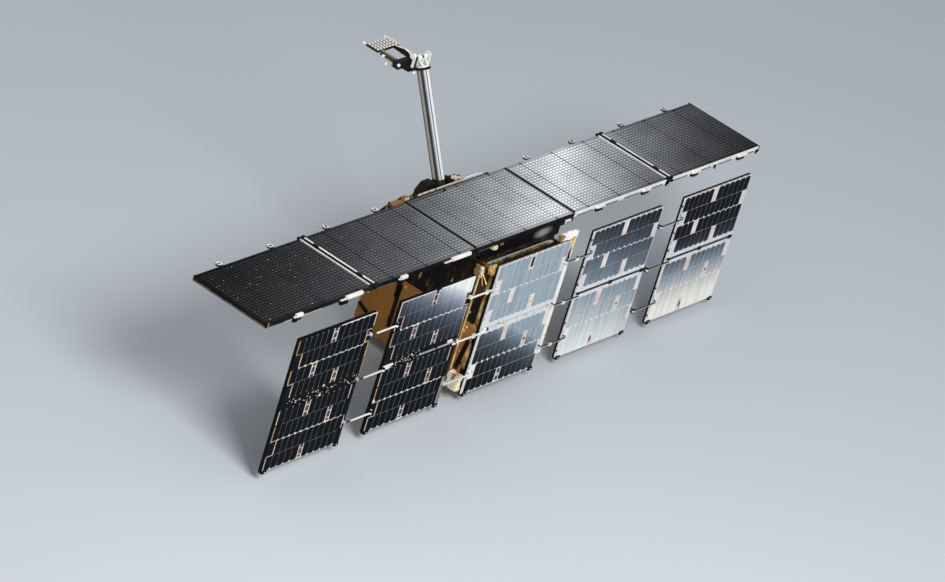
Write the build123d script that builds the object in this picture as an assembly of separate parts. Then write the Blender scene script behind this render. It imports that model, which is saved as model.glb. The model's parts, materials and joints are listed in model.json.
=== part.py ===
from build123d import *
import math
import os

# Radar microsatellite: a box bus with a flat radar antenna of five panels on top,
# a solar array of five panels across the front, and a gimballed dish head on a mast.
# Millimetres. X runs along both arrays, Y from the solar side (front) to the back, Z up.
# The origin is the centre of the separation ring's lower face, on the floor.

# Bus
BUS_FRONT = -284.0
BUS_BACK = 284.0
BUS_TOP = 610.0
BUS_EDGE = 16.0
SKIN = 4.0
SIDE_SPLIT = 350.0

# Separation ring under the bus
RING_HEIGHT = 50.0
RING_R = 150.0
RING_BORE_R = 122.0
RING_LIP = 6.0
RING_WALL = 6.0
RING_FLANGE = 8.0
RING_BOLTS = 12
RING_BOLT_EDGE = 8.0
RING_HOLE_R = 3.3

# Radar antenna array, panel by panel
ANT_LENGTH = 634.0
ANT_GAP = 6.0
ANT_WIDTH = 375.0
ANT_THICK = 20.0
ANT_SKIN = 12.0
ANT_RIB = 14.0
ANT_BAYS = 4
ANT_CORNER = 5.0
ANT_FRONT = -226.0
NOTCH_LENGTH = 250.0
NOTCH_DEPTH = 18.0
NOTCH_FROM_END = 2.0

# Lugs on the wing panels' long edges, as shares of the length from a panel's left end
TAB_SHARES = (0.27, 0.75)
TAB_R = 14.0
TAB_HOLE_R = 6.0
TAB_OUT = 18.0
TAB_T = 8.0
CLAMP_WIDTH = 44.0
CLAMP_OUT = 10.0
CLAMP_DROP = 28.0
CLAMP_CAP_OUT = 14.0
CLAMP_CAP_H = 14.0

# Front clamps, wing panel by wing panel: share of the length at the middle, and where
# the cap over it starts and ends, in millimetres from that middle
CLAMP_TABLE = {
    -2: ((0.28, -12.0, 24.0), (0.72, 8.0, 105.0)),
    -1: ((0.27, -12.0, 24.0), (0.72, 20.0, 135.0)),
    1: ((0.25, -8.0, 28.0), (0.74, -8.0, 28.0)),
    2: ((0.27, -8.0, 28.0), (0.78, -8.0, 34.0)),
}

# Thin plate that closes the space under the middle antenna panel in front
FASCIA_T = 2.0
FASCIA_INSET = 50.0

# Beams that carry the middle antenna panel
BEAM_FOOT = 36.0
BEAM_HEIGHT = 34.0
BEAM_WIDTH = 30.0
BEAM_END = 7.0
BEAM_INSET = 12.0
BEAM_HOLE_R = 10.0
BEAM_HOLES = 7
FOOT_INSET = 40.0

# Antenna hinges: inner ones fold down beside the bus, outer ones fold flat over the inner panels
IN_HINGE_OUT = 5.0
IN_HINGE_DROP = 20.0
OUT_HINGE_RISE = 9.0
EYE_R = 8.0
EYE_WIDTH = 12.0
KNUCKLE_REACH = 12.0
PIN_R = 3.0
PIN_CLEAR = 0.05
SIDE_GAP = 0.4
BAR_WIDTH = 12.0
BAR_HEIGHT = 5.0
BAR_GAP = 4.0
BAR_EYE_R = 5.0
BAR_PIN_R = 2.0
BAR_EYE_SHARES = (0.2, 0.8)

# Solar array, panel by panel
SOL_LENGTH = 467.0
SOL_GAP = 150.0
SOL_HEIGHT = 594.0
SOL_THICK = 14.0
SOL_RISE = 29.0
SOL_STANDOFF = 5.0
SOL_CORNER = 5.0
SOL_MARGIN = 12.0
SOL_BAND = 14.0
SOL_TUBE_R = 2.5
SOL_POCKET = 6.0
CELL_COLUMNS = 12
SCALLOP = 5.0
ROD_R = 4.0
ROD_SHARES = (0.16, 0.50, 0.83)
ROD_OVERLAP = 9.0
PAD_R = 8.0
PAD_SHARES = ((-0.32, -0.39), (0.32, -0.39), (-0.32, 0.0), (0.32, 0.0), (-0.32, 0.39), (0.32, 0.39))

# Solar hinges: both lie in front of the panels' face, so the rods start in that plane
SOL_HINGE_OUT = 12.0
SOL_IN_REACH = 62.5
SOL_OUT_REACH = 8.0
TONGUE_R = 6.0
TONGUE_H = 7.6
FORK_T = 3.5
FORK_GAP = 0.3
SOL_PIN_R = 2.5
CLAMP_LENGTH = 12.0

# Mast and its root
MAST_R = 25.0
MAST_WALL = 3.0
MAST_X = 33.0
MAST_FROM_BACK = 48.0
MAST_RISE = 33.0
MAST_LENGTH = 475.0
MAST_TILT = 29.5
MAST_START = 22.0
BARREL_R = 15.0
ROOT_PIN_R = 6.0
CHEEK_T = 20.0
CHEEK_GAP = 3.0
CAP_R = 32.0
CAP_T = 9.0

# Head: yoke, frame with two cheeks and two arms, and the plate of open cups
TURN_R = 26.0
TURN_T = 6.0
TURN_GAP = 0.4
YOKE_HALF = 24.0
STRUT_R = 3.6
HEAD_AXIS_UP = 40.0
HEAD_HALF = 44.0
HEAD_CHEEK_T = 10.0
SHAFT_R = 6.0
CROSS_Y = 28.0
CROSS_Z = 28.0
CROSS_REACH = 58.0
ARM_X = 12.0
ARM_Z = 20.0
LEFT_ARM_IN = 18.0
PLATE_SHIFT = 12.0
PLATE_X = 134.0
PLATE_Y = 62.0
PLATE_T = 7.0
PLATE_REACH = 227.4
PLATE_DROP = 51.2
RAIL_X = 5.0
RAIL_RISE = 8.0
RING_COLUMNS = 7
RING_ROWS = 4
CUP_R = 5.6
CUP_BORE_R = 3.9
CUP_H = 5.0
BALL_R = 7.0
STUB_R = 2.2
DRUM_R = 11.0
DRUM_T = 14.0
LINK_T = 5.0
LINK_DROP = 33.0
HORN_R = 13.0
HORN_TIP_R = 5.0
HORN_H = 22.0

# Small pieces on the bus
STRIP_Y = 195.0
STRIP_T = 4.0
STRIP_TOP = 58.0
FLANGE_WIDTH = 34.0
FLANGE_T = 4.0
FOIL_LENGTH = 110.0
FRONT_ROD_R = 3.5
FRONT_ROD_RISE = 12.0
FRONT_ROD_Y = -245.0
DECK_T = 2.0
POST_R = 4.0
STRAP_T = 3.0

# Pieces on the back face
RADIATOR_WIDTH = 300.0
RADIATOR_LOW = 130.0
RADIATOR_HIGH = 400.0
RADIATOR_T = 4.0
RADIATOR_SLOTS = 4
RADIATOR_SLOT = 3.0
TRACKER_X = 110.0
TRACKER_LOW = 430.0
TRACKER_WIDTH = 52.0
TRACKER_HEIGHT = 60.0
TRACKER_DEPTH = 40.0
BAFFLE_R = 29.0
BAFFLE_ROOT_R = 17.0
BAFFLE_LENGTH = 58.0
THRUSTER_Z = 95.0
THRUSTER_WIDTH = 60.0
THRUSTER_T = 14.0
BELL_LENGTH = 28.0
BELL_R = 20.0
BELL_THROAT_R = 9.0

# Worked out from the driving sizes
BUS_WIDTH = SOL_LENGTH - 3.0
BUS_HALF = BUS_WIDTH / 2
SIDE_X = BUS_HALF + SKIN
BUS_DEPTH = BUS_BACK - BUS_FRONT
BUS_MID_Y = (BUS_BACK + BUS_FRONT) / 2
RING_PCD = 2 * (RING_R - RING_BOLT_EDGE)
BEAM_BOTTOM = BUS_TOP + BEAM_FOOT
ANT_UNDER = BEAM_BOTTOM + BEAM_HEIGHT
ANT_TOP = ANT_UNDER + ANT_THICK
ANT_PITCH = ANT_LENGTH + ANT_GAP
ANT_BACK = ANT_FRONT + ANT_WIDTH
BEAM_LENGTH = ANT_LENGTH - 2 * BEAM_END
BEAM_Y = (ANT_FRONT + BEAM_INSET + BEAM_WIDTH / 2, ANT_BACK - BEAM_INSET - BEAM_WIDTH / 2)
IN_HINGE_X = ANT_LENGTH / 2 + IN_HINGE_OUT
IN_HINGE_Z = ANT_UNDER - IN_HINGE_DROP
OUT_HINGE_X = 1.5 * ANT_PITCH
OUT_HINGE_Z = ANT_TOP + OUT_HINGE_RISE
SOL_BACK = BUS_FRONT - SOL_STANDOFF
SOL_FACE = SOL_BACK - SOL_THICK
SOL_TOP = BUS_TOP + SOL_RISE
SOL_BOTTOM = SOL_TOP - SOL_HEIGHT
SOL_MID_Z = (SOL_TOP + SOL_BOTTOM) / 2
SOL_PITCH = SOL_LENGTH + SOL_GAP
SOL_AXIS_Y = SOL_FACE - SOL_HINGE_OUT
SOL_IN_X = SOL_LENGTH / 2 + SOL_IN_REACH
SOL_OUT_X = SOL_PITCH + SOL_LENGTH / 2 + SOL_OUT_REACH
ROD_LEVELS = [SOL_TOP - share * SOL_HEIGHT for share in ROD_SHARES]
MAST_UP = Vector(0, math.sin(math.radians(MAST_TILT)), math.cos(math.radians(MAST_TILT)))
MAST_SIDE = Vector(0, MAST_UP.Z, -MAST_UP.Y)
MAST_ROOT = Vector(MAST_X, BUS_BACK - MAST_FROM_BACK, BUS_TOP + MAST_RISE)
MAST_TIP = MAST_ROOT + MAST_UP * MAST_LENGTH
HEAD_AXIS = MAST_TIP + MAST_UP * HEAD_AXIS_UP
PLATE_BACK = HEAD_AXIS.Y + PLATE_REACH
PLATE_NEAR = PLATE_BACK - PLATE_Y
PLATE_Z = HEAD_AXIS.Z - PLATE_DROP
CHEEK_FRONT = (HEAD_AXIS.Y - 14, PLATE_Z + 6)
CHEEK_LOW = (HEAD_AXIS.Y + 8, PLATE_Z - 10)
LEFT_ARM_X = (MAST_X + PLATE_SHIFT - PLATE_X / 2 + LEFT_ARM_IN, MAST_X + PLATE_SHIFT - PLATE_X / 2 + LEFT_ARM_IN + ARM_X)
RIGHT_ARM_X = (MAST_X + HEAD_HALF + HEAD_CHEEK_T / 2 - 2, MAST_X + HEAD_HALF + HEAD_CHEEK_T / 2 + ARM_X)


def block(x, y, z):
    """A box from three pairs of low and high values."""
    size = Box(abs(x[1] - x[0]), abs(y[1] - y[0]), abs(z[1] - z[0]))
    return Pos((x[0] + x[1]) / 2, (y[0] + y[1]) / 2, (z[0] + z[1]) / 2) * size


def bar(start, end, radius, bore=0.0):
    """A round bar or tube from one point to another."""
    start = Vector(*start)
    way = Vector(*end) - start
    ring = Circle(radius)
    if bore > 0:
        ring = ring - Circle(bore)
    return extrude(Plane(origin=start, z_dir=way) * ring, way.length)


def slab(points, x, thick):
    """A plate at one X, from an outline of (y, z) points."""
    return extrude(Plane.YZ.offset(x) * make_face(Polyline(*points, close=True)), thick)


def joined(pieces):
    """Pieces that touch, as one solid."""
    whole = pieces[0]
    for piece in pieces[1:]:
        whole = whole + piece
    return whole


def save(node, *pieces):
    """Write one sub-part, made of one or more solids."""
    solids = []
    for piece in pieces:
        solids.extend(piece.solids())
    shape = solids[0] if len(solids) == 1 else Compound(children=solids)
    shape.label = node
    export_step(shape, os.path.join("parts", node + ".step"))


def separation_ring():
    """Machined ring: lower bolt flange, thin wall and upper flange under the bus."""
    wall_out = RING_BORE_R + RING_LIP + RING_WALL
    profile = Polyline(
        (RING_BORE_R, 0),
        (RING_R, 0),
        (RING_R, RING_FLANGE),
        (wall_out, RING_FLANGE),
        (wall_out, RING_HEIGHT - RING_FLANGE),
        (RING_R, RING_HEIGHT - RING_FLANGE),
        (RING_R, RING_HEIGHT),
        (RING_BORE_R, RING_HEIGHT),
        close=True,
    )
    ring = revolve(Plane.XZ * make_face(profile), Axis.Z)
    holes = PolarLocations(RING_PCD / 2, RING_BOLTS) * Cylinder(RING_HOLE_R, 4 * RING_FLANGE)
    return ring - holes


def bus_core():
    """The wrapped box, with rounded upright edges and a chamfered top and bottom."""
    core = block((-BUS_HALF, BUS_HALF), (BUS_FRONT, BUS_BACK), (RING_HEIGHT, BUS_TOP))
    core = fillet(core.edges().filter_by(Axis.Z), BUS_EDGE)
    ends = core.faces().filter_by(Axis.Z).edges()
    return chamfer(ends, BUS_EDGE / 4)


def side_panel(side, low, high):
    """A flat panel on one side of the bus, with rounded corners."""
    width = BUS_DEPTH - 2 * BUS_EDGE
    face = Plane.YZ.offset(side * BUS_HALF) * RectangleRounded(width, high - low, BUS_EDGE / 2)
    return Pos(0, BUS_MID_Y, (low + high) / 2) * extrude(face, side * SKIN)


def deck_plate():
    """Black plate on the deck under the antenna, cut round the beams' feet."""
    plate = block(
        (-BUS_HALF + BUS_EDGE, BUS_HALF - BUS_EDGE),
        (FRONT_ROD_Y + 12, STRIP_Y),
        (BUS_TOP, BUS_TOP + DECK_T),
    )
    for x, y in foot_places():
        plate -= block((x - 20, x + 20), (y - 14, y + 14), (BUS_TOP - 1, BUS_TOP + 2 * DECK_T))
    return plate


def foot_places():
    """Where the beams stand on the deck."""
    return [(side * (BUS_HALF - FOOT_INSET), y) for side in (-1, 1) for y in BEAM_Y]


def beams():
    """Two channels with lightening holes, joined by rails and standing on four feet."""
    pieces = []
    hole_pitch = BEAM_LENGTH / (BEAM_HOLES + 0.75)
    for y in BEAM_Y:
        beam = block(
            (-BEAM_LENGTH / 2, BEAM_LENGTH / 2),
            (y - BEAM_WIDTH / 2, y + BEAM_WIDTH / 2),
            (BEAM_BOTTOM, ANT_UNDER),
        )
        for number in range(BEAM_HOLES):
            x = (number - (BEAM_HOLES - 1) / 2) * hole_pitch
            hole = Rot(90, 0, 0) * Cylinder(BEAM_HOLE_R, 2 * BEAM_WIDTH)
            beam -= Pos(x, y, (BEAM_BOTTOM + ANT_UNDER) / 2) * hole
        pieces.append(beam)
    for x, y in foot_places():
        pieces.append(block((x - 18, x + 18), (y - 12, y + 12), (BUS_TOP, BEAM_BOTTOM)))
    for side in (-1, 1):
        x = side * (BUS_HALF - FOOT_INSET)
        pieces.append(block((x - 12, x + 12), BEAM_Y, (BEAM_BOTTOM, BEAM_BOTTOM + BEAM_HEIGHT / 2)))
    return joined(pieces)


def front_fascia():
    """Thin dark plate on the front beam's face, from the deck up to the antenna panel."""
    face = BEAM_Y[0] - BEAM_WIDTH / 2
    length = BEAM_LENGTH - 2 * FASCIA_INSET
    plate = block((-length / 2, length / 2), (face - FASCIA_T, face), (BUS_TOP + DECK_T, ANT_UNDER - 4))
    return fillet(plate.edges().filter_by(Axis.Y), 6)


def root_hinge_brackets():
    """Fixed halves of the inner antenna hinges, one on each beam end, with their pins."""
    brackets = []
    for side in (-1, 1):
        axis = side * IN_HINGE_X
        for y in BEAM_Y:
            low = y - EYE_WIDTH - SIDE_GAP
            high = y - SIDE_GAP
            eye = bar((axis, low, IN_HINGE_Z), (axis, high, IN_HINGE_Z), EYE_R)
            arm = block(
                (side * BEAM_LENGTH / 2, axis),
                (low, high),
                (IN_HINGE_Z - EYE_R, IN_HINGE_Z + EYE_R),
            )
            end = y + EYE_WIDTH
            pin = bar((axis, high, IN_HINGE_Z), (axis, end + 2, IN_HINGE_Z), PIN_R)
            head = bar((axis, end + SIDE_GAP, IN_HINGE_Z), (axis, end + 3, IN_HINGE_Z), PIN_R + 2)
            brackets.append(joined([eye, arm, pin, head]))
    return brackets


def antenna_panel(index):
    """A radiating panel: a flat skin with a ribbed frame below. The middle one has a back notch."""
    x = index * ANT_PITCH
    mid_y = (ANT_FRONT + ANT_BACK) / 2
    skin = RectangleRounded(ANT_LENGTH, ANT_WIDTH, ANT_CORNER)
    panel = Pos(x, mid_y, ANT_UNDER) * extrude(skin, ANT_THICK)
    panel = chamfer(panel.faces().sort_by(Axis.Z)[-1].outer_wire().edges(), 1.0)
    bay_x = (ANT_LENGTH - ANT_RIB) / ANT_BAYS - ANT_RIB
    bay_y = (ANT_WIDTH - 3 * ANT_RIB) / 2
    pocket = extrude(RectangleRounded(bay_x, bay_y, ANT_RIB / 2), ANT_THICK - ANT_SKIN)
    bays = GridLocations(bay_x + ANT_RIB, bay_y + ANT_RIB, ANT_BAYS, 2) * pocket
    panel -= [Pos(x, mid_y, ANT_UNDER) * bay for bay in bays]
    if index == 0:
        centre = NOTCH_FROM_END + NOTCH_LENGTH / 2 - ANT_LENGTH / 2
        outline = RectangleRounded(NOTCH_LENGTH, 2 * NOTCH_DEPTH, NOTCH_DEPTH - 1)
        panel -= Pos(centre, ANT_BACK, ANT_UNDER) * extrude(outline, ANT_THICK)
    return panel


def edge_lugs(index):
    """On a wing panel's long edges: ring tabs behind, capped clamps in front, end posts."""
    left = index * ANT_PITCH - ANT_LENGTH / 2
    lugs = []
    for share in TAB_SHARES:
        x = left + share * ANT_LENGTH
        low = ANT_TOP - 2 - TAB_T
        ring = Pos(x, ANT_BACK + TAB_OUT, low) * extrude(Circle(TAB_R), TAB_T)
        web = block((x - TAB_R / 2, x + TAB_R / 2), (ANT_BACK, ANT_BACK + TAB_OUT), (low, low + TAB_T))
        hole = Pos(x, ANT_BACK + TAB_OUT, ANT_TOP) * Cylinder(TAB_HOLE_R, 2 * ANT_THICK)
        lugs.append(ring + web - hole)
    for share, cap_start, cap_end in CLAMP_TABLE[index]:
        x = left + share * ANT_LENGTH
        under = ANT_TOP + 2 - CLAMP_CAP_H
        body = block(
            (x - CLAMP_WIDTH / 2, x + CLAMP_WIDTH / 2),
            (ANT_FRONT - CLAMP_OUT, ANT_FRONT),
            (ANT_TOP + 2 - CLAMP_DROP, under + 2),
        )
        cap = block((x + cap_start, x + cap_end), (ANT_FRONT - CLAMP_CAP_OUT, ANT_FRONT), (under, ANT_TOP + 2))
        cap = chamfer(cap.edges().filter_by(Axis.X), 2)
        lugs.append(body + cap)
    if abs(index) == 2:
        end = index / 2 * (2 * ANT_PITCH + ANT_LENGTH / 2 - ANT_CORNER)
        near = end - index / 2 * 6
        for y in (ANT_FRONT, ANT_BACK):
            out = -3 if y == ANT_FRONT else 3
            lugs.append(block((near, end), (y, y + out), (ANT_UNDER - 3, ANT_TOP + 1)))
    return lugs


def root_knuckles(side):
    """Moving halves of one inner antenna hinge: an eye and an arm under the panel's edge."""
    pieces = []
    inner = side * (ANT_PITCH - ANT_LENGTH / 2)
    axis = side * IN_HINGE_X
    for y in BEAM_Y:
        low = y
        high = y + EYE_WIDTH
        eye = bar((axis, low, IN_HINGE_Z), (axis, high, IN_HINGE_Z), EYE_R)
        web = block((axis, inner + side * KNUCKLE_REACH), (low, high), (IN_HINGE_Z - 4, ANT_UNDER))
        hole = bar((axis, low - 2, IN_HINGE_Z), (axis, high + 2, IN_HINGE_Z), PIN_R + PIN_CLEAR)
        pieces.append(eye + web - hole)
    return pieces


def seam_bar(side, outer):
    """The bar along one edge of an outer seam, with its share of the hinge eyes."""
    axis = side * OUT_HINGE_X
    away = side if outer else -side
    near = axis + away * BAR_GAP
    far = near + away * BAR_WIDTH
    rail = block((near, far), (ANT_FRONT + 6, ANT_BACK - 6), (ANT_TOP, ANT_TOP + BAR_HEIGHT))
    whole = chamfer(rail.faces().sort_by(Axis.Z)[-1].edges(), 1.2)
    for share in BAR_EYE_SHARES:
        y = ANT_FRONT + share * ANT_WIDTH
        low = y if outer else y - EYE_WIDTH - SIDE_GAP
        high = low + EYE_WIDTH
        eye = bar((axis, low, OUT_HINGE_Z), (axis, high, OUT_HINGE_Z), BAR_EYE_R)
        arm = block((axis, near + away * 5), (low, high), (ANT_TOP + BAR_HEIGHT - 1, OUT_HINGE_Z))
        whole = whole + eye + arm
        if outer:
            hole_r = BAR_PIN_R + PIN_CLEAR
            whole -= bar((axis, low - 2, OUT_HINGE_Z), (axis, high + 2, OUT_HINGE_Z), hole_r)
        else:
            pin_end = y + EYE_WIDTH + 2
            whole += bar((axis, low, OUT_HINGE_Z), (axis, pin_end, OUT_HINGE_Z), BAR_PIN_R)
    return whole


def solar_panel(index):
    """One solar panel: scalloped ends between the cell columns, a mid rail, pockets behind, two feet."""
    x = index * SOL_PITCH
    mid_y = (SOL_FACE + SOL_BACK) / 2
    outline = RectangleRounded(SOL_LENGTH, SOL_HEIGHT, SOL_CORNER)
    pitch = (SOL_LENGTH - 2 * SOL_MARGIN) / CELL_COLUMNS
    diamond = Rot(0, 0, 45) * Rectangle(SCALLOP, SCALLOP)
    outline -= GridLocations(pitch, SOL_HEIGHT, CELL_COLUMNS - 1, 2) * diamond
    board = Pos(x, SOL_BACK, SOL_MID_Z) * extrude(Plane.XZ * outline, SOL_THICK)
    pocket_x = SOL_LENGTH / 2 - 28
    pocket_z = (SOL_HEIGHT - SOL_BAND) / 2 - 48
    pocket = Box(pocket_x, 2 * SOL_POCKET, pocket_z)
    for sign in (-1, 1):
        for column in (-1, 1):
            centre_x = x + column * (SOL_LENGTH / 4 - 4)
            centre_z = SOL_MID_Z + sign * (SOL_BAND / 2 + 14 + (pocket_z + 20) / 2)
            board -= Pos(centre_x, SOL_BACK, centre_z) * pocket
    rail = Pos(x, SOL_FACE, SOL_MID_Z) * (Rot(0, 90, 0) * Cylinder(SOL_TUBE_R, SOL_LENGTH - 40))
    whole = board + rail
    for sign in (-1, 1):
        foot_x = x + sign * (SOL_LENGTH / 2 - 16)
        whole += block((foot_x - 9, foot_x + 9), (SOL_FACE, SOL_BACK), (SOL_BOTTOM - 8, SOL_BOTTOM + 1))
    return whole


def solar_pads():
    """Short pads that hold the middle solar panel off the bus front."""
    pads = []
    for share_x, share_z in PAD_SHARES:
        x = share_x * SOL_LENGTH
        z = SOL_MID_Z + share_z * SOL_HEIGHT
        pads.append(bar((x, SOL_BACK, z), (x, BUS_FRONT, z), PAD_R))
    return pads


def fork(axis_x, level, block_x):
    """Two thin eyes above and below a rod's level, and the pin between them."""
    pieces = []
    reach = TONGUE_H / 2 + FORK_GAP
    for sign in (-1, 1):
        low = level + sign * reach
        high = level + sign * (reach + FORK_T)
        ear = bar((axis_x, SOL_AXIS_Y, low), (axis_x, SOL_AXIS_Y, high), TONGUE_R)
        wing = block((axis_x, block_x), (SOL_AXIS_Y - 4, SOL_AXIS_Y + 4), (low, high))
        pieces.append(ear + wing)
    half = reach + FORK_T
    pieces.append(bar((axis_x, SOL_AXIS_Y, level - half), (axis_x, SOL_AXIS_Y, level + half), SOL_PIN_R))
    return pieces


def fixed_rods():
    """Short rods from the middle solar panel to the inner hinges, each in a clamp block."""
    whole = []
    half = TONGUE_H / 2 + FORK_GAP + FORK_T
    for side in (-1, 1):
        edge = side * SOL_LENGTH / 2
        axis = side * SOL_IN_X
        stop = axis - side * (TONGUE_R + 2)
        for level in ROD_LEVELS:
            stem = block((stop - side * 6, stop), (SOL_AXIS_Y - 4, SOL_AXIS_Y + 4), (level - half, level + half))
            rod_in = (edge - side * ROD_OVERLAP, SOL_AXIS_Y, level)
            rod = bar(rod_in, (stop - side * 3, SOL_AXIS_Y, level), ROD_R)
            clamp = rod_clamp(edge - side * (CLAMP_LENGTH + 2), edge - side * 2, level)
            whole.append(joined(fork(axis, level, stop) + [stem, rod, clamp]))
    return whole


def rod_clamp(start, end, level):
    """A block on a panel's face that holds a rod's end."""
    return block((start, end), (SOL_AXIS_Y - 1, SOL_FACE), (level - 6, level + 6))


def outer_forks(side):
    """Hinge forks on the outer edge of an inner solar panel."""
    whole = []
    axis = side * SOL_OUT_X
    edge = side * (SOL_PITCH + SOL_LENGTH / 2)
    reach = TONGUE_H / 2 + FORK_GAP
    for level in ROD_LEVELS:
        ears = []
        for sign in (-1, 1):
            low = level + sign * reach
            high = level + sign * (reach + FORK_T)
            ear = bar((axis, SOL_AXIS_Y, low), (axis, SOL_AXIS_Y, high), TONGUE_R)
            wing = block((edge, axis + side * 2), (SOL_AXIS_Y, SOL_BACK - 3), (low, high))
            ears.append(ear + wing)
        stem_z = (level - reach - FORK_T, level + reach + FORK_T)
        stem = block((edge, edge + side * 5), (SOL_FACE + 2, SOL_BACK - 3), stem_z)
        pin = bar((axis, SOL_AXIS_Y, stem_z[0]), (axis, SOL_AXIS_Y, stem_z[1]), SOL_PIN_R)
        whole.append(joined([ears[0], stem, ears[1], pin]))
    return whole


def moving_rods(side, outer):
    """Three rods from a hinge line to the next panel's face, each with a tongue and a clamp."""
    axis = side * (SOL_OUT_X if outer else SOL_IN_X)
    centre = 2 * SOL_PITCH if outer else SOL_PITCH
    edge = side * (centre - SOL_LENGTH / 2)
    whole = []
    for level in ROD_LEVELS:
        half = TONGUE_H / 2
        tongue = bar((axis, SOL_AXIS_Y, level - half), (axis, SOL_AXIS_Y, level + half), TONGUE_R)
        rod_end = (edge + side * ROD_OVERLAP, SOL_AXIS_Y, level)
        rod = bar((axis + side * 3, SOL_AXIS_Y, level), rod_end, ROD_R - 0.3)
        hole = bar((axis, SOL_AXIS_Y, level - 9), (axis, SOL_AXIS_Y, level + 9), SOL_PIN_R + PIN_CLEAR)
        clamp = rod_clamp(edge + side * 2, edge + side * (CLAMP_LENGTH + 2), level)
        whole.append(tongue + rod + clamp - hole)
    return whole


def mast_clevis():
    """Two dark cheeks on the deck beside the mast's root, bored for its pin."""
    cheeks = []
    y = MAST_ROOT.Y
    z = MAST_ROOT.Z
    outline = [(y - 34, BUS_TOP), (y + 30, BUS_TOP), (y + 16, z + 26), (y - 10, z + 32), (y - 20, z + 16)]
    for side in (-1, 1):
        inner = MAST_X + side * (MAST_R + CHEEK_GAP)
        outer = inner + side * CHEEK_T
        cheek = slab(outline, inner, side * CHEEK_T)
        cheek -= bar((outer + side, y, z), (inner - side, y, z), ROOT_PIN_R + PIN_CLEAR)
        cheeks.append(cheek)
    return cheeks


def mast_root():
    """Dark end fitting with the hinge barrel, and its pin ends."""
    half = MAST_R + 1
    pin_half = MAST_R + CHEEK_GAP + CHEEK_T
    side = Vector(1, 0, 0)
    barrel = bar(MAST_ROOT - side * half, MAST_ROOT + side * half, BARREL_R)
    foot = bar(MAST_ROOT + MAST_UP * 6, MAST_ROOT + MAST_UP * MAST_START, MAST_R)
    pin = bar(MAST_ROOT - side * pin_half, MAST_ROOT + side * pin_half, ROOT_PIN_R)
    return barrel + foot + pin


def mast_tube():
    """The polished tube."""
    start = MAST_ROOT + MAST_UP * MAST_START
    end = MAST_TIP - MAST_UP * CAP_T
    return bar(start, end, MAST_R, MAST_R - MAST_WALL)


def mast_cap():
    """Small flanged cap on the tube's end, with a spigot inside it."""
    low = MAST_TIP - MAST_UP * CAP_T
    flange = chamfer(bar(low, MAST_TIP, CAP_R).edges(), 1.5)
    spigot = bar(low - MAST_UP * 16, low, MAST_R - MAST_WALL)
    return flange + spigot


def head_yoke():
    """Turntable on the cap, and the white struts and drums that carry the cross shaft."""
    low = MAST_TIP + MAST_UP * TURN_GAP
    pieces = [bar(low, low + MAST_UP * TURN_T, TURN_R)]
    # side, and the drum's radius, inner end and outer end from the mast's middle
    for side, radius, inner, outer in ((-1, 13, 7, 29), (1, 10, 11, 33)):
        top = HEAD_AXIS + Vector(side * YOKE_HALF, 0, 0)
        pieces.append(bar(HEAD_AXIS + Vector(side * inner, 0, 0), HEAD_AXIS + Vector(side * outer, 0, 0), radius))
        for across in (-1, 1):
            foot = low + MAST_UP * (TURN_T - 1) + Vector(side * YOKE_HALF / 2, 0, 0) + MAST_SIDE * (across * 16)
            pieces.append(bar(foot, top, STRUT_R))
    reach = Vector(HEAD_HALF, 0, 0)
    return joined(pieces) - bar(HEAD_AXIS - reach, HEAD_AXIS + reach, SHAFT_R + PIN_CLEAR)


def head_frame():
    """Cross shaft, two wedge cheeks, the cross-member they end in, and two unlike arms to the plate."""
    y = HEAD_AXIS.Y
    z = HEAD_AXIS.Z
    half = HEAD_HALF + HEAD_CHEEK_T / 2
    cross = (y + CROSS_REACH, y + CROSS_REACH + CROSS_Y)
    pieces = [bar(HEAD_AXIS - Vector(half, 0, 0), HEAD_AXIS + Vector(half, 0, 0), SHAFT_R)]
    cheek = [
        (y - 12, z + 14),
        (y + 12, z + 14),
        (y + 42, PLATE_Z + 4),
        (cross[1], PLATE_Z + 4),
        (cross[1], PLATE_Z - CROSS_Z / 2),
        CHEEK_LOW,
        CHEEK_FRONT,
    ]
    for side in (-1, 1):
        pieces.append(slab(cheek, MAST_X + side * half, -side * HEAD_CHEEK_T))
    pieces.append(block((MAST_X - half, RIGHT_ARM_X[1]), cross, (PLATE_Z - CROSS_Z, PLATE_Z)))
    pieces.append(block(LEFT_ARM_X, (cross[1], PLATE_NEAR), (PLATE_Z + 2 - ARM_Z, PLATE_Z + 2)))
    bulge = cross[1] + CROSS_Y
    wing = [
        (cross[1], PLATE_Z - ARM_Z / 2),
        (cross[1], PLATE_Z + ARM_Z / 2),
        (bulge, PLATE_Z + ARM_Z * 0.7),
        (PLATE_NEAR, PLATE_Z + ARM_Z / 5),
        (PLATE_NEAR, PLATE_Z - PLATE_T),
        (bulge, PLATE_Z - ARM_Z / 2),
    ]
    pieces.append(slab(wing, RIGHT_ARM_X[0], RIGHT_ARM_X[1] - RIGHT_ARM_X[0]))
    return joined(pieces)


def dish_plate():
    """Flat array antenna: a plate with rows of small open cups, and a rail along its right edge."""
    middle = MAST_X + PLATE_SHIFT
    right = middle + PLATE_X / 2
    whole = block((middle - PLATE_X / 2, right), (PLATE_NEAR, PLATE_BACK), (PLATE_Z - PLATE_T, PLATE_Z))
    whole += block((right - 1, right + RAIL_X), (PLATE_NEAR, PLATE_BACK + 4), (PLATE_Z - PLATE_T, PLATE_Z + RAIL_RISE))
    pitch_x = (PLATE_X - 4) / RING_COLUMNS
    pitch_y = (PLATE_Y - 2) / RING_ROWS
    cup = Cylinder(CUP_R, CUP_H) - Cylinder(CUP_BORE_R, CUP_H + 1)
    for place in GridLocations(pitch_x, pitch_y, RING_COLUMNS, RING_ROWS):
        whole += Pos(middle - 1, PLATE_NEAR + PLATE_Y / 2, PLATE_Z + CUP_H / 2) * (place * cup)
    return whole


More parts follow.
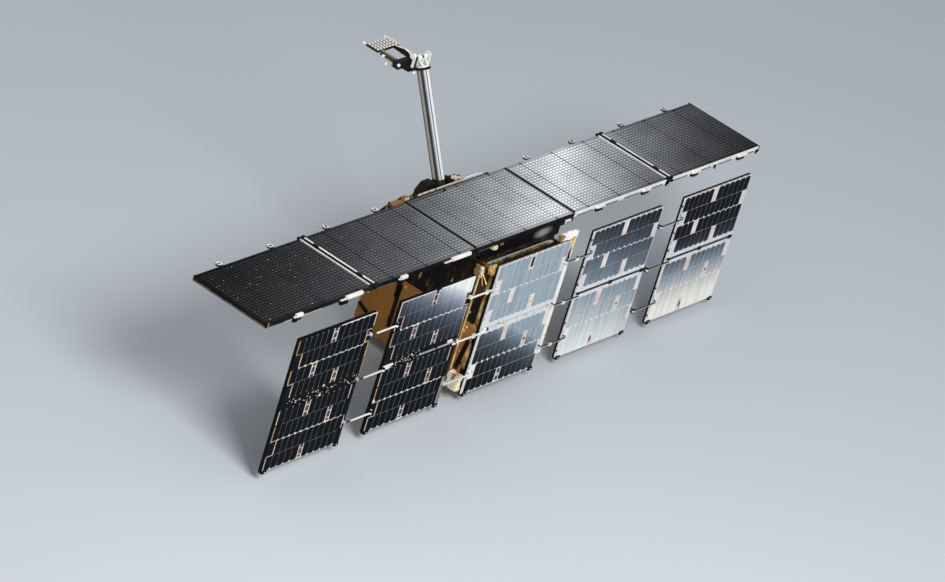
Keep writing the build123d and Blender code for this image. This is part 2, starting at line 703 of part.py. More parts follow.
def ball_stub(start, end):
    """A thin stub with a ball on its end."""
    return bar(start, end, STUB_R) + Pos(*end) * Rot(0, 0, 180) * Sphere(BALL_R)


def head_pins():
    """White fittings: ball stubs on cheek, arm and plate, the drum with its link, and a small horn."""
    left = MAST_X - HEAD_HALF - HEAD_CHEEK_T / 2
    y = HEAD_AXIS.Y
    z = HEAD_AXIS.Z
    pins = [ball_stub((left, y + 52, PLATE_Z - 2), (left - BALL_R - 2, y + 52, PLATE_Z - 2))]
    arm = LEFT_ARM_X[0]
    pins.append(ball_stub((arm, PLATE_NEAR - 25, PLATE_Z - 9), (arm - BALL_R - 5, PLATE_NEAR - 25, PLATE_Z - 9)))

    front = Vector(0, CHEEK_FRONT[0], CHEEK_FRONT[1])
    slope = (Vector(0, CHEEK_LOW[0], CHEEK_LOW[1]) - front).normalized()
    start = front + slope * (STUB_R + 1.5) + Vector(MAST_X - HEAD_HALF, 0, 0)
    pins.append(ball_stub(start, start + Vector(0, slope.Z, -slope.Y) * (BALL_R + 1)))

    low_x = MAST_X + PLATE_SHIFT - PLATE_X / 2 + 6
    high_x = MAST_X + PLATE_SHIFT + PLATE_X / 2 + RAIL_X / 2
    # x, where the stub starts and the ball's middle, from the plate's back edge
    for x, low, high in ((low_x, 0, 16), (high_x, 4, 13)):
        pins.append(ball_stub((x, PLATE_BACK + low, PLATE_Z - PLATE_T / 2), (x, PLATE_BACK + high, PLATE_Z - PLATE_T / 2)))

    drum = bar((left, y, z + 16), (left - DRUM_T, y, z + 16), DRUM_R)
    link = block((left - LINK_T, left), (y - 10, y), (z - LINK_DROP, z + 16))
    pins.append(drum + link)

    top = PLATE_Z + 2 - ARM_Z
    middle = Vector((LEFT_ARM_X[0] + LEFT_ARM_X[1]) / 2, y + CROSS_REACH + CROSS_Y + HORN_R + 3, top)
    horn = Pos(middle.X, middle.Y, top - HORN_H / 2) * Cone(HORN_TIP_R, HORN_R, HORN_H)
    end = middle + Vector(-6, 24, -HORN_H)
    pins.append(horn + ball_stub(middle - Vector(0, 0, HORN_H / 2), end))
    return pins


def back_strip():
    """Pale upright strip along the deck behind the antenna, with a short bar on its top."""
    top = BUS_TOP + STRIP_TOP
    strip = block((-SIDE_X - 4, SIDE_X + 18), (STRIP_Y, STRIP_Y + STRIP_T), (BUS_TOP, top))
    lip = block((148, 224), (STRIP_Y - 1, STRIP_Y + STRIP_T + 1), (top - 1, top + 4))
    return strip + lip


def front_flange():
    """Bright angle on the bus's right front corner, and the foil roll along its top."""
    outer = SIDE_X + FLANGE_WIDTH
    y = BUS_FRONT - 12
    top = SOL_TOP + 26
    plate = block((SIDE_X, outer), (y, y + FLANGE_T), (100, top))
    web = block((SIDE_X, SIDE_X + FLANGE_T), (y, BUS_FRONT + 44), (100, BUS_TOP - 20))
    roll = block((outer - FOIL_LENGTH, outer), (y, y + 12), (SOL_TOP + 9, top))
    roll = fillet(roll.edges().filter_by(Axis.X), 3)
    return joined([plate, web, roll])


def corner_box():
    """Small pale box low on the left side, by the front edge."""
    box = block((-SIDE_X - 26, -SIDE_X), (BUS_FRONT - 6, BUS_FRONT + 44), (RING_HEIGHT + 10, RING_HEIGHT + 76))
    return fillet(box.edges().filter_by(Axis.Z), 3)


def gold_bracket():
    """Foil-wrapped post on the left side with a crumpled head and short braces."""
    x = -SIDE_X - POST_R
    y = BUS_FRONT + 56
    top = BUS_TOP - 26
    head = Pos(x, y, top) * (Rot(0, 0, 45) * Box(2 * POST_R, 20, 26))
    head = chamfer(head.edges(), 2)
    head -= block((-SIDE_X, 0), (y - 30, y + 30), (top - 40, top + 40))
    pieces = [head, bar((x, y, RING_HEIGHT + 76), (x, y, top), POST_R)]
    for forward, down in ((-26, 58), (-42, 45)):
        pieces.append(bar((x, y, top), (x, y + forward, top - down), POST_R - 1.5))
    for level in (0.42, 0.56):
        z = RING_HEIGHT + level * BUS_TOP
        pieces.append(block((x - POST_R, -SIDE_X), (y - 10, y + 3), (z - 4, z + 4)))
    return joined(pieces)


def side_straps():
    """Black straps and small feet on the left face."""
    # centre y, centre z, length, width, lean in degrees
    table = (
        (102, 254, 140, 9, 3),
        (106, 160, 34, 18, 0),
        (242, 142, 54, 9, -75),
        (-256, 208, 142, 18, 9),
        (-256, 172, 22, 10, 88),
    )
    straps = []
    for y, z, length, width, lean in table:
        strap = Box(STRAP_T, width, length)
        straps.append(Pos(-SIDE_X - STRAP_T / 2, y, z) * (Rot(lean, 0, 0) * strap))
    return [straps[0] + straps[1], straps[2], straps[3] + straps[4]]


def deck_rod():
    """Thin bright rod along the deck's front edge, on three clips."""
    z = BUS_TOP + FRONT_ROD_RISE
    pieces = [bar((-SIDE_X, FRONT_ROD_Y, z), (BUS_HALF - 70, FRONT_ROD_Y, z), FRONT_ROD_R)]
    for share in (-0.8, 0.0, 0.65):
        x = share * BUS_HALF
        pieces.append(block((x - 5, x + 5), (FRONT_ROD_Y - 4, FRONT_ROD_Y + 4), (BUS_TOP, z)))
    return joined(pieces)


def deck_boxes():
    """Dark drive housing left of the mast and a junction box behind it."""
    left = MAST_X - MAST_R - CHEEK_GAP - CHEEK_T - 13
    housing = block((left - 76, left), (MAST_ROOT.Y - 20, MAST_ROOT.Y + 20), (BUS_TOP, BUS_TOP + 68))
    ridge = housing.faces().sort_by(Axis.X)[0].edges().sort_by(Axis.Z)[-1]
    housing = chamfer(ridge, 30)
    right = MAST_X + MAST_R + CHEEK_GAP + CHEEK_T + 30
    junction = block((right, right + 60), (MAST_ROOT.Y - 14, MAST_ROOT.Y + 26), (BUS_TOP, BUS_TOP + 40))
    junction = fillet(junction.edges().filter_by(Axis.Z), 4)
    cable_z = BUS_TOP + STRIP_TOP - 14
    stub = block((SIDE_X + 18, SIDE_X + 62), (STRIP_Y - 1, STRIP_Y + STRIP_T), (cable_z - 5, cable_z + 5))
    return [housing, junction, chamfer(stub.edges().filter_by(Axis.Y), 2)]


def radiator():
    """White radiator plate on the back face, cut by four slots."""
    width = RADIATOR_WIDTH
    height = RADIATOR_HIGH - RADIATOR_LOW
    frame = block((-width / 2, width / 2), (BUS_BACK, BUS_BACK + RADIATOR_T), (RADIATOR_LOW, RADIATOR_HIGH))
    frame = chamfer(frame.faces().sort_by(Axis.Y)[-1].edges(), RADIATOR_T / 2)
    slot = Box(0.9 * width, RADIATOR_T, RADIATOR_SLOT)
    grid = GridLocations(1, height / (RADIATOR_SLOTS + 1), 1, RADIATOR_SLOTS)
    middle = Pos(0, BUS_BACK + RADIATOR_T, (RADIATOR_LOW + RADIATOR_HIGH) / 2)
    return frame - [middle * Pos(0, 0, place.position.Y) * slot for place in grid]


def star_trackers():
    """Two star trackers on the back face: a bracket and an open baffle on each."""
    trackers = []
    for side in (-1, 1):
        x = side * TRACKER_X
        half = TRACKER_WIDTH / 2
        high = TRACKER_LOW + TRACKER_HEIGHT
        bracket = block((x - half, x + half), (BUS_BACK, BUS_BACK + TRACKER_DEPTH), (TRACKER_LOW, high))
        bracket = chamfer(bracket.faces().sort_by(Axis.Y)[-1].edges(), 4)
        up = Vector(side * 0.30, 0.75, 0.59)
        low = Vector(x, BUS_BACK + 0.65 * TRACKER_DEPTH, high - 14)
        outer = Cone(BAFFLE_ROOT_R, BAFFLE_R, BAFFLE_LENGTH)
        inner = Pos(0, 0, 6) * Cone(BAFFLE_ROOT_R - 4, BAFFLE_R - 2.5, BAFFLE_LENGTH)
        cone = Plane(origin=low, z_dir=up) * Pos(0, 0, BAFFLE_LENGTH / 2) * (outer - inner)
        trackers.append(bracket + cone)
    return trackers


def thruster():
    """Small thruster low on the back face: a square mount and a flared nozzle."""
    half = THRUSTER_WIDTH / 2
    height = 0.87 * THRUSTER_WIDTH
    mount = block(
        (-half, half),
        (BUS_BACK, BUS_BACK + THRUSTER_T),
        (THRUSTER_Z - height / 2, THRUSTER_Z + height / 2),
    )
    mount = fillet(mount.edges().filter_by(Axis.Y), 6)
    plane = Plane(origin=(0, BUS_BACK + THRUSTER_T - 1, THRUSTER_Z), z_dir=(0, 1, 0))
    outer = Cone(BELL_THROAT_R, BELL_R, BELL_LENGTH)
    inner = Pos(0, 0, 4) * Cone(BELL_THROAT_R - 3, BELL_R - 2, BELL_LENGTH)
    return mount + plane * Pos(0, 0, BELL_LENGTH / 2) * (outer - inner)


os.makedirs("parts", exist_ok=True)

save("separation_ring", separation_ring())
save("bus_core", bus_core())
for name, side in (("left", -1), ("right", 1)):
    save("lower_side_panel_" + name, side_panel(side, RING_HEIGHT + 10, SIDE_SPLIT - 1))
    save("upper_side_panel_" + name, side_panel(side, SIDE_SPLIT + 1, BUS_TOP - 10))
save("deck_plate", deck_plate())
save("antenna_beams", beams())
save("front_fascia", front_fascia())
save("root_hinge_brackets", *root_hinge_brackets())

for index in range(-2, 3):
    number = index + 3
    save("antenna_panel_%d" % number, antenna_panel(index))
    save("solar_panel_%d" % number, solar_panel(index))
    if index != 0:
        side = 1 if index > 0 else -1
        outer = abs(index) == 2
        save("edge_lugs_%d" % number, *edge_lugs(index))
        save("solar_rods_%d" % number, *moving_rods(side, outer))
        save("seam_bar_%d" % number, seam_bar(side, outer))
        if not outer:
            save("root_knuckles_%d" % number, *root_knuckles(side))
            save("outer_forks_%d" % number, *outer_forks(side))
save("solar_rods_3", *fixed_rods())
save("solar_pads", *solar_pads())

save("mast_clevis", *mast_clevis())
save("mast_root", mast_root())
save("mast_tube", mast_tube())
save("mast_cap", mast_cap())
save("head_yoke", head_yoke())
save("head_frame", head_frame())
save("dish_plate", dish_plate())
save("head_pins", *head_pins())

save("back_strip", back_strip())
save("front_flange", front_flange())
save("corner_box", corner_box())
save("gold_bracket", gold_bracket())
save("side_straps", *side_straps())
save("deck_rod", deck_rod())
save("deck_boxes", *deck_boxes())
save("radiator", radiator())
save("star_trackers", *star_trackers())
save("thruster", thruster())
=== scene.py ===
"""Looks of a radar satellite: cells, bumps, trims, foil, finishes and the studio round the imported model."""

import json
import math
import random
from collections import namedtuple

import bpy
from mathutils import Matrix, Quaternion, Vector


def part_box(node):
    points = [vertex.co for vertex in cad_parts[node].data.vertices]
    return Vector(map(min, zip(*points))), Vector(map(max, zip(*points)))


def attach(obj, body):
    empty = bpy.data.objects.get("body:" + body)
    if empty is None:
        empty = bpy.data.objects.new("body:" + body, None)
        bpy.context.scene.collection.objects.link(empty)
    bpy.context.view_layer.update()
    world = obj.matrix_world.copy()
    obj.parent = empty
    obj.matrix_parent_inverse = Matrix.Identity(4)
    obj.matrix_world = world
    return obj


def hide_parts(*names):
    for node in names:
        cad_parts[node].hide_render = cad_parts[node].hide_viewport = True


bl_info = {
    "name": "Radar satellite looks",
    "version": (1, 0, 0),
    "blender": (4, 5, 0),
    "location": "View3D > Sidebar > Satellite",
    "description": "Models and finishes the visible pieces of a folding radar satellite",
    "category": "Object",
}

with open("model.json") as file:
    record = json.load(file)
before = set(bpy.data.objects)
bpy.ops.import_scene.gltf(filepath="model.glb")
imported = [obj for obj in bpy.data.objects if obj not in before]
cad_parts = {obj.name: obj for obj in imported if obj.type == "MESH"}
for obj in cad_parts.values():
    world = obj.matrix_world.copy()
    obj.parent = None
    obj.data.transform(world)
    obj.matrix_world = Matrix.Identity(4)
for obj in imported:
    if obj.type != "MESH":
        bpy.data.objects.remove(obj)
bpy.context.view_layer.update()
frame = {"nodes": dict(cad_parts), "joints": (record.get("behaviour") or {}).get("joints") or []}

X = Vector((1.0, 0.0, 0.0))
Y = Vector((0.0, 1.0, 0.0))
Z = Vector((0.0, 0.0, 1.0))


def corners(name):
    """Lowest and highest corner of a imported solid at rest."""
    low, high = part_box(name)
    return Vector(low), Vector(high)


def joint_place(name):
    """A point on a joint's axis at rest."""
    return next(Vector(joint["pos_m"]) for joint in frame["joints"] if joint["name"] == name)


# Sizes and places in metres, from the frame
PANELS = (1, 2, 3, 4, 5)
ANTENNA_LOW, ANTENNA_HIGH = corners("antenna_panel_3")
ANTENNA_LENGTH = ANTENNA_HIGH.x - ANTENNA_LOW.x
ANTENNA_PITCH = corners("antenna_panel_4")[0].x - ANTENNA_LOW.x
ANTENNA_END = 2 * ANTENNA_PITCH + ANTENNA_LENGTH / 2
ANTENNA_FRONT = ANTENNA_LOW.y
ANTENNA_BACK = ANTENNA_HIGH.y
ANTENNA_UNDER = ANTENNA_LOW.z
ANTENNA_TOP = ANTENNA_HIGH.z
FEET_DROP = 0.008
SOLAR_LOW, SOLAR_HIGH = corners("solar_panel_3")
SOLAR_LENGTH = SOLAR_HIGH.x - SOLAR_LOW.x
SOLAR_PITCH = corners("solar_panel_4")[0].x - SOLAR_LOW.x
SOLAR_FACE = corners("solar_rods_3")[1].y
SOLAR_BACK = SOLAR_HIGH.y
SOLAR_TOP = SOLAR_HIGH.z
SOLAR_BOTTOM = SOLAR_LOW.z + FEET_DROP
BODY_LOW, BODY_HIGH = corners("bus_core")
BODY_SIDE = corners("upper_side_panel_right")[1].x
BODY_TOP = BODY_HIGH.z
RADIATOR_FACE = corners("radiator")[1].y
MAST_ROOT = joint_place("mast_fold")
MAST_RADIUS = 0.025
PLATE_TOP = joint_place("head_tilt").z - 0.0512
PLATE_RIGHT = MAST_ROOT.x + 0.079

# Cell rows of one solar panel, in millimetres from its top left corner. A slot at 0 is none,
# and the cells' corners are round at one end.
CellRow = namedtuple("CellRow", "top bottom left right slot_left slot_right round_end")
CELL_ROWS = tuple(CellRow(*row) for row in (
    (5, 70, 8, 463, 208, 240, "top"),
    (72, 136, 46, 434, 0, 0, "bottom"),
    (138, 203, 8, 463, 128, 160, "top"),
    (205, 270, 42, 463, 282, 314, "bottom"),
    (318, 386, 10, 436, 164, 196, "top"),
    (388, 458, 10, 463, 322, 352, "bottom"),
    (460, 525, 46, 448, 0, 0, "top"),
    (527, 590, 10, 463, 206, 236, "bottom"),
))

# Levels between the rows, in millimetres from the top: where square cells meet, where round ones meet,
# the short ribbons at the right of row 2, and the middle of the bare band
PLAIN_LEVELS = (71.0, 204.0, 387.0, 526.0)
ROUND_LEVELS = (137.0, 459.0)
SHORT_LEVELS = (74, 101, 130)
BAND = 294

# Upright bus bars beside the rows of the dark panels: row number, millimetres from the left edge, finish
EDGE_BARS = (
    (0, 3, "amber"), (1, 42, "cream"), (2, 3, "amber"), (3, 38, "cream"), (4, 6, "cream"), (5, 6, "amber"),
    (6, 42, "cream"), (7, 6, "cream"), (1, 437, "cream"), (2, 464, "amber"), (4, 440, "cream"),
    (6, 451, "cream"),
)

# Other bars on the faces, in millimetres: panels, left, right, top, bottom, finish, rise
DARK_BARS = (
    ((1,), 250, 460, 1.2, 8.0, "dash_1", 0.5),
    ((1,), 12, 460, 585, 592, "dash_1", 0.5),
    ((2,), 250, 460, 1.2, 8.0, "white", 0.5),
    ((2,), 12, 460, 585, 592, "white", 0.5),
    ((1, 2), 3, 42, 69.8, 72.2, "amber", 1.2),
    ((1, 2), 3, 42, 203.0, 205.4, "cream", 1.2),
    ((1, 2), 3, 44, 457.6, 460.0, "cream", 1.2),
    ((1, 2), 6, 44, 525.0, 527.2, "cream", 1.2),
    ((1, 2), 465.0, 466.9, 130, 290, "amber", 1.0),
    ((1,), 427, 466.5, 0.3, 2.6, "white", 1.6),
    ((1,), 463.8, 466.6, 0.3, 62, "white", 1.6),
    ((2,), 0.4, 3.2, 3, 130, "white", 1.6),
    ((2,), 0.4, 214, 0.3, 3.0, "white", 1.6),
    ((2,), 449, 466, 462, 589, "grey", 2.0),
    ((2,), 446.0, 449.0, 464, 588, "silver", 2.6),
)
PALE_BARS = (
    ((3, 4, 5), 3, 464, 0.3, 2.2, "blush", 1.2),
    ((3, 4, 5), 4, 42, 70.0, 72.4, "blush", 1.2),
    ((3, 4, 5), 4, 42, 203.6, 205.6, "grey", 1.2),
    ((3, 4, 5), 4, 44, 458.0, 460.4, "blush", 1.2),
)

# Thin strips on the antenna's front edges, in millimetres: panels, start and end from the left,
# thickness, lowest and highest level above the underside, finish
FRONT_STRIPS = (
    ((4, 5), 3, 631, 2.0, 8.0, 19.6, "white"),
    ((1,), 4, 630, 1.6, 0.4, 3.8, "copper"),
    ((1,), 4, 622, 1.4, 5.8, 19.6, "black"),
    ((1,), 110, 330, 2.2, 0.0, 2.2, "cream"),
    ((2, 3), 3, 631, 1.6, 0.8, 19.6, "black"),
    ((2, 3), 20, 130, 2.4, 0.3, 1.8, "grey"),
)

# Strips on the antenna's two ends: panel, thickness, lowest and highest level above the underside, finish
END_STRIPS = ((1, 1.6, 3.0, 7.0, "copper"), (1, 1.2, 8.0, 19.6, "black"), (5, 1.6, 8.0, 19.6, "white"))

# Black dashes low on the right wing's front edge: start and end as shares of a panel
DASHES = ((0.03, 0.20), (0.31, 0.46), (0.53, 0.69), (0.79, 0.94))

# Black blocks with a gold tip under the right wing's front edge: panel, share of its length,
# half width in millimetres
HOOKS = ((4, 0.25, 9), (4, 0.74, 9), (4, 0.985, 9), (5, 0.27, 9), (5, 0.50, 5), (5, 0.78, 9), (5, 0.97, 9))

# Black feet of the left wing's front clamps: panel, share of its length, from and to beside that place
# in millimetres
CLAMPS = ((1, 0.28, -24, -2), (1, 0.72, -24, 22), (2, 0.27, -24, -2), (2, 0.72, -24, 22))

# Blocks and tucks of foil at the middle panel's front edge, from its middle, its front and its underside:
# low corner, high corner, finish, and bevel with its steps or seed
FITTINGS = (
    ((0.262, -0.0070, -0.0160), (0.300, 0.0140, 0.0002), "white", 0.0015, 2),
    ((0.203, -0.0050, -0.0140), (0.262, 0.0140, 0.0002), "black", 0.0015, 2),
    ((0.300, -0.0050, -0.0150), (0.316, 0.0140, 0.0002), "black", 0.0015, 2),
    ((0.268, -0.0095, -0.0115), (0.294, -0.0070, -0.0080), "black", 0.0008, 1),
)
EDGE_TUCKS = (
    ((-0.206, -0.008, -0.015), (-0.180, 0.010, 0.000), "pale_foil", 3),
    ((-0.150, 0.000, -0.011), (-0.132, 0.010, 0.000), "foil", 4),
)

# Loose foil at the body's corners: low corner, high corner, finish, cuts, depth of the creases, seed
FOIL_TUCKS = (
    ((0.158, -0.298, 0.644), (0.272, -0.282, 0.668), "pale_foil", 7, 0.0028, 21),
    ((0.238, -0.299, 0.520), (0.258, -0.290, 0.646), "foil", 8, 0.0024, 22),
    ((-0.246, -0.286, 0.585), (-0.210, -0.262, 0.622), "foil", 5, 0.0030, 23),
    ((-0.250, -0.240, 0.556), (-0.232, -0.205, 0.598), "pale_foil", 5, 0.0026, 24),
    ((-0.262, -0.291, 0.060), (-0.235, -0.238, 0.128), "pale_foil", 6, 0.0026, 25),
    ((0.170, -0.252, 0.598), (0.186, -0.238, 0.616), "gold", 3, 0.0012, 27),
    ((-0.200, -0.218, 0.600), (0.235, -0.206, 0.620), "umber", 12, 0.0030, 28),
    ((-0.222, -0.287, 0.598), (0.222, -0.250, 0.6125), "umber", 14, 0.0026, 29),
)

# Painted reflection: light mirrored by the cells of two panels, as its start, growth to the right and
# downwards per metre, and its top
CELL_GLARE = {2: (-2.62, 7.7, -17.0, 0.76), 3: (2.80, 8.57, -17.0, 0.35)}

# Camera: the point it looks at, the way it looks, its distance, roll and focal length in millimetres
CAMERA_AIM = Vector((-0.0404, -0.0995, 0.3588))
CAMERA_WAY = Vector((0.76115755, 0.45503946, -0.46214529))
CAMERA_DISTANCE = 23.982
CAMERA_ROLL = math.radians(17.38)
CAMERA_LENS = 232.03
FAR_CLIP = 200.0


def solar_middle(number):
    """X of a solar panel's middle."""
    return (number - 3) * SOLAR_PITCH


def antenna_middle(number):
    """X of an antenna panel's middle."""
    return (number - 3) * ANTENNA_PITCH


def antenna_left(number):
    """X of an antenna panel's left end."""
    return antenna_middle(number) - ANTENNA_LENGTH / 2


def solar_body(number):
    """The body that a solar panel's pieces ride on."""
    return "bus" if number == 3 else "solar_wing_%d" % number


def antenna_body(number):
    """The body that an antenna panel's pieces ride on."""
    return "bus" if number == 3 else "antenna_wing_%d" % number


def on_solar(number, across, down, out=0.0):
    """A point on a solar panel's face, in millimetres from its top left corner and out of the face."""
    left = solar_middle(number) - SOLAR_LENGTH / 2
    return Vector((left + across / 1000, SOLAR_FACE - out / 1000, SOLAR_TOP - down / 1000))


def row_blocks(row):
    """Start and end of each unbroken block of cells in a row."""
    if row.slot_right == 0:
        return [(row.left, row.right)]
    return [(row.left, row.slot_left), (row.slot_right, row.right)]


# Modelling helpers


def clear_selection():
    """Select nothing."""
    bpy.ops.object.select_all(action="DESELECT")


def enter_edit(action=None, kind=None):
    """Enter edit mode, if wanted with a kind of selection and with everything or nothing selected."""
    bpy.ops.object.mode_set(mode="EDIT")
    if kind:
        bpy.ops.mesh.select_mode(type=kind)
    if action:
        bpy.ops.mesh.select_all(action=action)


def leave_edit():
    """Back to object mode."""
    bpy.ops.object.mode_set(mode="OBJECT")


def settle(name):
    """Name the piece just added and put its place into its mesh."""
    piece = bpy.context.object
    piece.name = name
    piece.data.name = name
    bpy.ops.object.transform_apply(location=True, rotation=True, scale=True)
    return piece


def bevel_chosen(piece, kind, chosen, offset, steps):
    """Bevel the faces' rims or the edges that a test picks."""
    enter_edit("DESELECT", kind)
    leave_edit()
    for item in piece.data.polygons if kind == "FACE" else piece.data.edges:
        item.select = chosen(item)
    enter_edit()
    bpy.ops.mesh.bevel(offset=offset, segments=steps, affect="EDGES")
    leave_edit()


def box_piece(name, low, high, finish=None, bevel=0.0, steps=1):
    """A box between two corners with its edges bevelled."""
    clear_selection()
    low = Vector(low)
    high = Vector(high)
    bpy.ops.mesh.primitive_cube_add(size=1.0, location=(low + high) / 2, scale=high - low)
    piece = settle(name)
    if bevel > 0:
        enter_edit("SELECT")
        bpy.ops.mesh.bevel(offset=bevel, segments=steps, affect="EDGES")
        leave_edit()
    return coat(piece, finish) if finish else piece


def rod_piece(name, start, end, radius, finish, sides=12, bevel=0.0):
    """A round bar from one point to another, its rims bevelled."""
    clear_selection()
    start = Vector(start)
    way = Vector(end) - start
    bpy.ops.mesh.primitive_cylinder_add(
        vertices=sides, radius=radius, depth=way.length, location=start + way / 2,
        rotation=way.to_track_quat("Z", "Y").to_euler())
    piece = settle(name)
    if bevel > 0:
        straight = way.normalized()
        bevel_chosen(piece, "FACE", lambda face: abs(face.normal.dot(straight)) > 0.9, bevel, 2)
    bpy.ops.object.shade_smooth_by_angle(angle=math.radians(35))
    return coat(piece, finish)


def blob_piece(name, centre, size, finish, fine=1):
    """A small rounded lump."""
    clear_selection()
    bpy.ops.mesh.primitive_ico_sphere_add(subdivisions=fine, radius=0.5, location=centre, scale=size)
    piece = settle(name)
    bpy.ops.object.shade_smooth_by_angle(angle=math.radians(60))
    return coat(piece, finish)


def foil_piece(name, low, high, finish, cuts, crumple, seed):
    """A box of crumpled film between two corners."""
    piece = box_piece(name, low, high)
    enter_edit("SELECT")
    bpy.ops.mesh.subdivide(number_cuts=cuts)
    bpy.ops.transform.vertex_random(offset=crumple, uniform=0.6, normal=0.3, seed=seed)
    bpy.ops.mesh.quads_convert_to_tris(quad_method="SHORTEST_DIAGONAL", ngon_method="BEAUTY")
    leave_edit()
    return coat(piece, finish)


def repeat(piece, count, step):
    """The piece as a row of copies, a step apart."""
    if count < 2:
        return piece
    clear_selection()
    piece.select_set(True)
    bpy.context.view_layer.objects.active = piece
    row = piece.modifiers.new("Row", "ARRAY")
    row.use_relative_offset = False
    row.use_constant_offset = True
    row.constant_offset_displace = step
    row.count = count
    bpy.ops.object.modifier_apply(modifier="Row")
    return piece


def copy_moved(piece, name, move):
    """A copy with its own mesh, moved by a vector."""
    twin = piece.copy()
    twin.data = piece.data.copy()
    twin.name = name
    twin.data.name = name
    bpy.context.collection.objects.link(twin)
    twin.data.transform(Matrix.Translation(Vector(move)))
    return twin


def join_pieces(name, pieces):
    """Several pieces as one, each keeping its finish."""
    clear_selection()
    for piece in pieces:
        piece.select_set(True)
    bpy.context.view_layer.objects.active = pieces[0]
    if len(pieces) > 1:
        bpy.ops.object.join()
    whole = bpy.context.object
    whole.name = name
    whole.data.name = name
    return whole


def coat(piece, finish):
    """Give a piece one finish all over, by the finish or by its plain name."""
    piece.data.materials.clear()
    piece.data.materials.append(FINISHES[finish] if isinstance(finish, str) else finish)
    return piece


def place_on(piece, body):
    """Let a piece ride on a body."""
    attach(piece, body)


def flat_bar(number, left, right, top, bottom, finish, rise=1.2):
    """A thin bar on a solar panel's face, in millimetres from its top left corner."""
    low = on_solar(number, left, bottom, rise)
    return box_piece("bar", low, on_solar(number, right, top), finish, rise * 0.0003)


# Finishing helpers


def node(finish, kind, **values):
    """A shader node with the given properties."""
    made = finish.node_tree.nodes.new(kind)
    for key, given in values.items():
        setattr(made, key, given)
    return made


def wire(finish, source, target):
    """Link two sockets."""
    finish.node_tree.links.new(source, target)


def shader(finish):
    """The finish's own shader."""
    return finish.node_tree.nodes["Principled BSDF"]


def place_of(finish, output="Object"):
    """The piece's own coordinates, or its normal."""
    return node(finish, "ShaderNodeTexCoord").outputs[output]


def new_finish(name, colour, roughness, metallic=0.0, specular=0.5):
    """A plain finish to build on, its constants on the shader's own sockets."""
    finish = bpy.data.materials.new(name)
    finish.use_nodes = True
    sockets = shader(finish).inputs
    sockets["Base Color"].default_value = (*colour, 1.0)
    sockets["Roughness"].default_value = roughness
    sockets["Metallic"].default_value = metallic
    sockets["Specular IOR Level"].default_value = specular
    finish.diffuse_color = (*colour, 1.0)
    return finish


def reckon(finish, operation, *given):
    """Plain arithmetic on numbers and sockets."""
    made = node(finish, "ShaderNodeMath", operation=operation)
    for socket, item in zip(made.inputs, given):
        if isinstance(item, (int, float)):
            socket.default_value = item
        else:
            wire(finish, item, socket)
    return made.outputs[0]


def times(finish, first, second):
    """The product of two values."""
    return reckon(finish, "MULTIPLY", first, second)


def spots(finish, scale, stretch=(1, 1, 1), detail=4.0, kind="ShaderNodeTexNoise"):
    """A noise on the piece's own coordinates, finer along the axes with a larger stretch."""
    mapping = node(finish, "ShaderNodeMapping")
    mapping.inputs["Scale"].default_value = stretch
    wire(finish, place_of(finish), mapping.inputs["Vector"])
    made = node(finish, kind)
    wire(finish, mapping.outputs["Vector"], made.inputs["Vector"])
    made.inputs["Scale"].default_value = scale
    if kind == "ShaderNodeTexNoise":
        made.inputs["Detail"].default_value = detail
        return made.outputs["Fac"]
    return made.outputs["Distance"]


def stripes(finish, scale):
    """Soft even bands along X."""
    made = node(finish, "ShaderNodeTexWave", bands_direction="X")
    made.inputs["Scale"].default_value = scale
    wire(finish, place_of(finish), made.inputs["Vector"])
    return made.outputs["Fac"]


def span(finish, value, low, high, out_low=0.0, out_high=1.0):
    """A value taken from one range to another, with soft ends."""
    made = node(finish, "ShaderNodeMapRange", interpolation_type="SMOOTHSTEP")
    for key, given in (("From Min", low), ("From Max", high), ("To Min", out_low), ("To Max", out_high)):
        made.inputs[key].default_value = given
    wire(finish, value, made.inputs["Value"])
    return made.outputs["Result"]


def weighed(finish, output, weights):
    """The sum of the place's or the normal's parts times the weights."""
    made = node(finish, "ShaderNodeVectorMath", operation="DOT_PRODUCT")
    made.inputs[1].default_value = weights
    wire(finish, place_of(finish, output), made.inputs[0])
    return made.outputs["Value"]


def along(finish, weights):
    """Place on the piece as one number: the sum of its coordinates times the weights."""
    return weighed(finish, "Object", weights)


def zone(finish, weights, low, high):
    """One where the weighted sum of the coordinates lies between two values."""
    place = along(finish, weights)
    above = reckon(finish, "GREATER_THAN", place, low)
    return times(finish, above, reckon(finish, "LESS_THAN", place, high))


def facing(finish, way, low=0.6, high=0.7):
    """One where the surface faces the given way, on the piece's own axes."""
    return span(finish, weighed(finish, "Normal", way), low, high)


def tint(finish, share, colour):
    """Paint a colour over the finish where the share is one."""
    socket = shader(finish).inputs["Base Color"]
    mix = node(finish, "ShaderNodeMix", data_type="RGBA")
    if socket.is_linked:
        wire(finish, socket.links[0].from_socket, mix.inputs[6])
    else:
        mix.inputs[6].default_value = socket.default_value
    mix.inputs[7].default_value = (*colour, 1.0)
    wire(finish, share, mix.inputs[0])
    wire(finish, mix.outputs[2], socket)


def patches(finish, colour, scale, low, high, stretch=(1, 1, 1), detail=4.0, most=1.0, within=None):
    """Paint a colour in soft patches, where a noise goes from one level to another."""
    share = span(finish, spots(finish, scale, stretch, detail), low, high, 0.0, most)
    if within is not None:
        share = times(finish, share, within)
    tint(finish, share, colour)


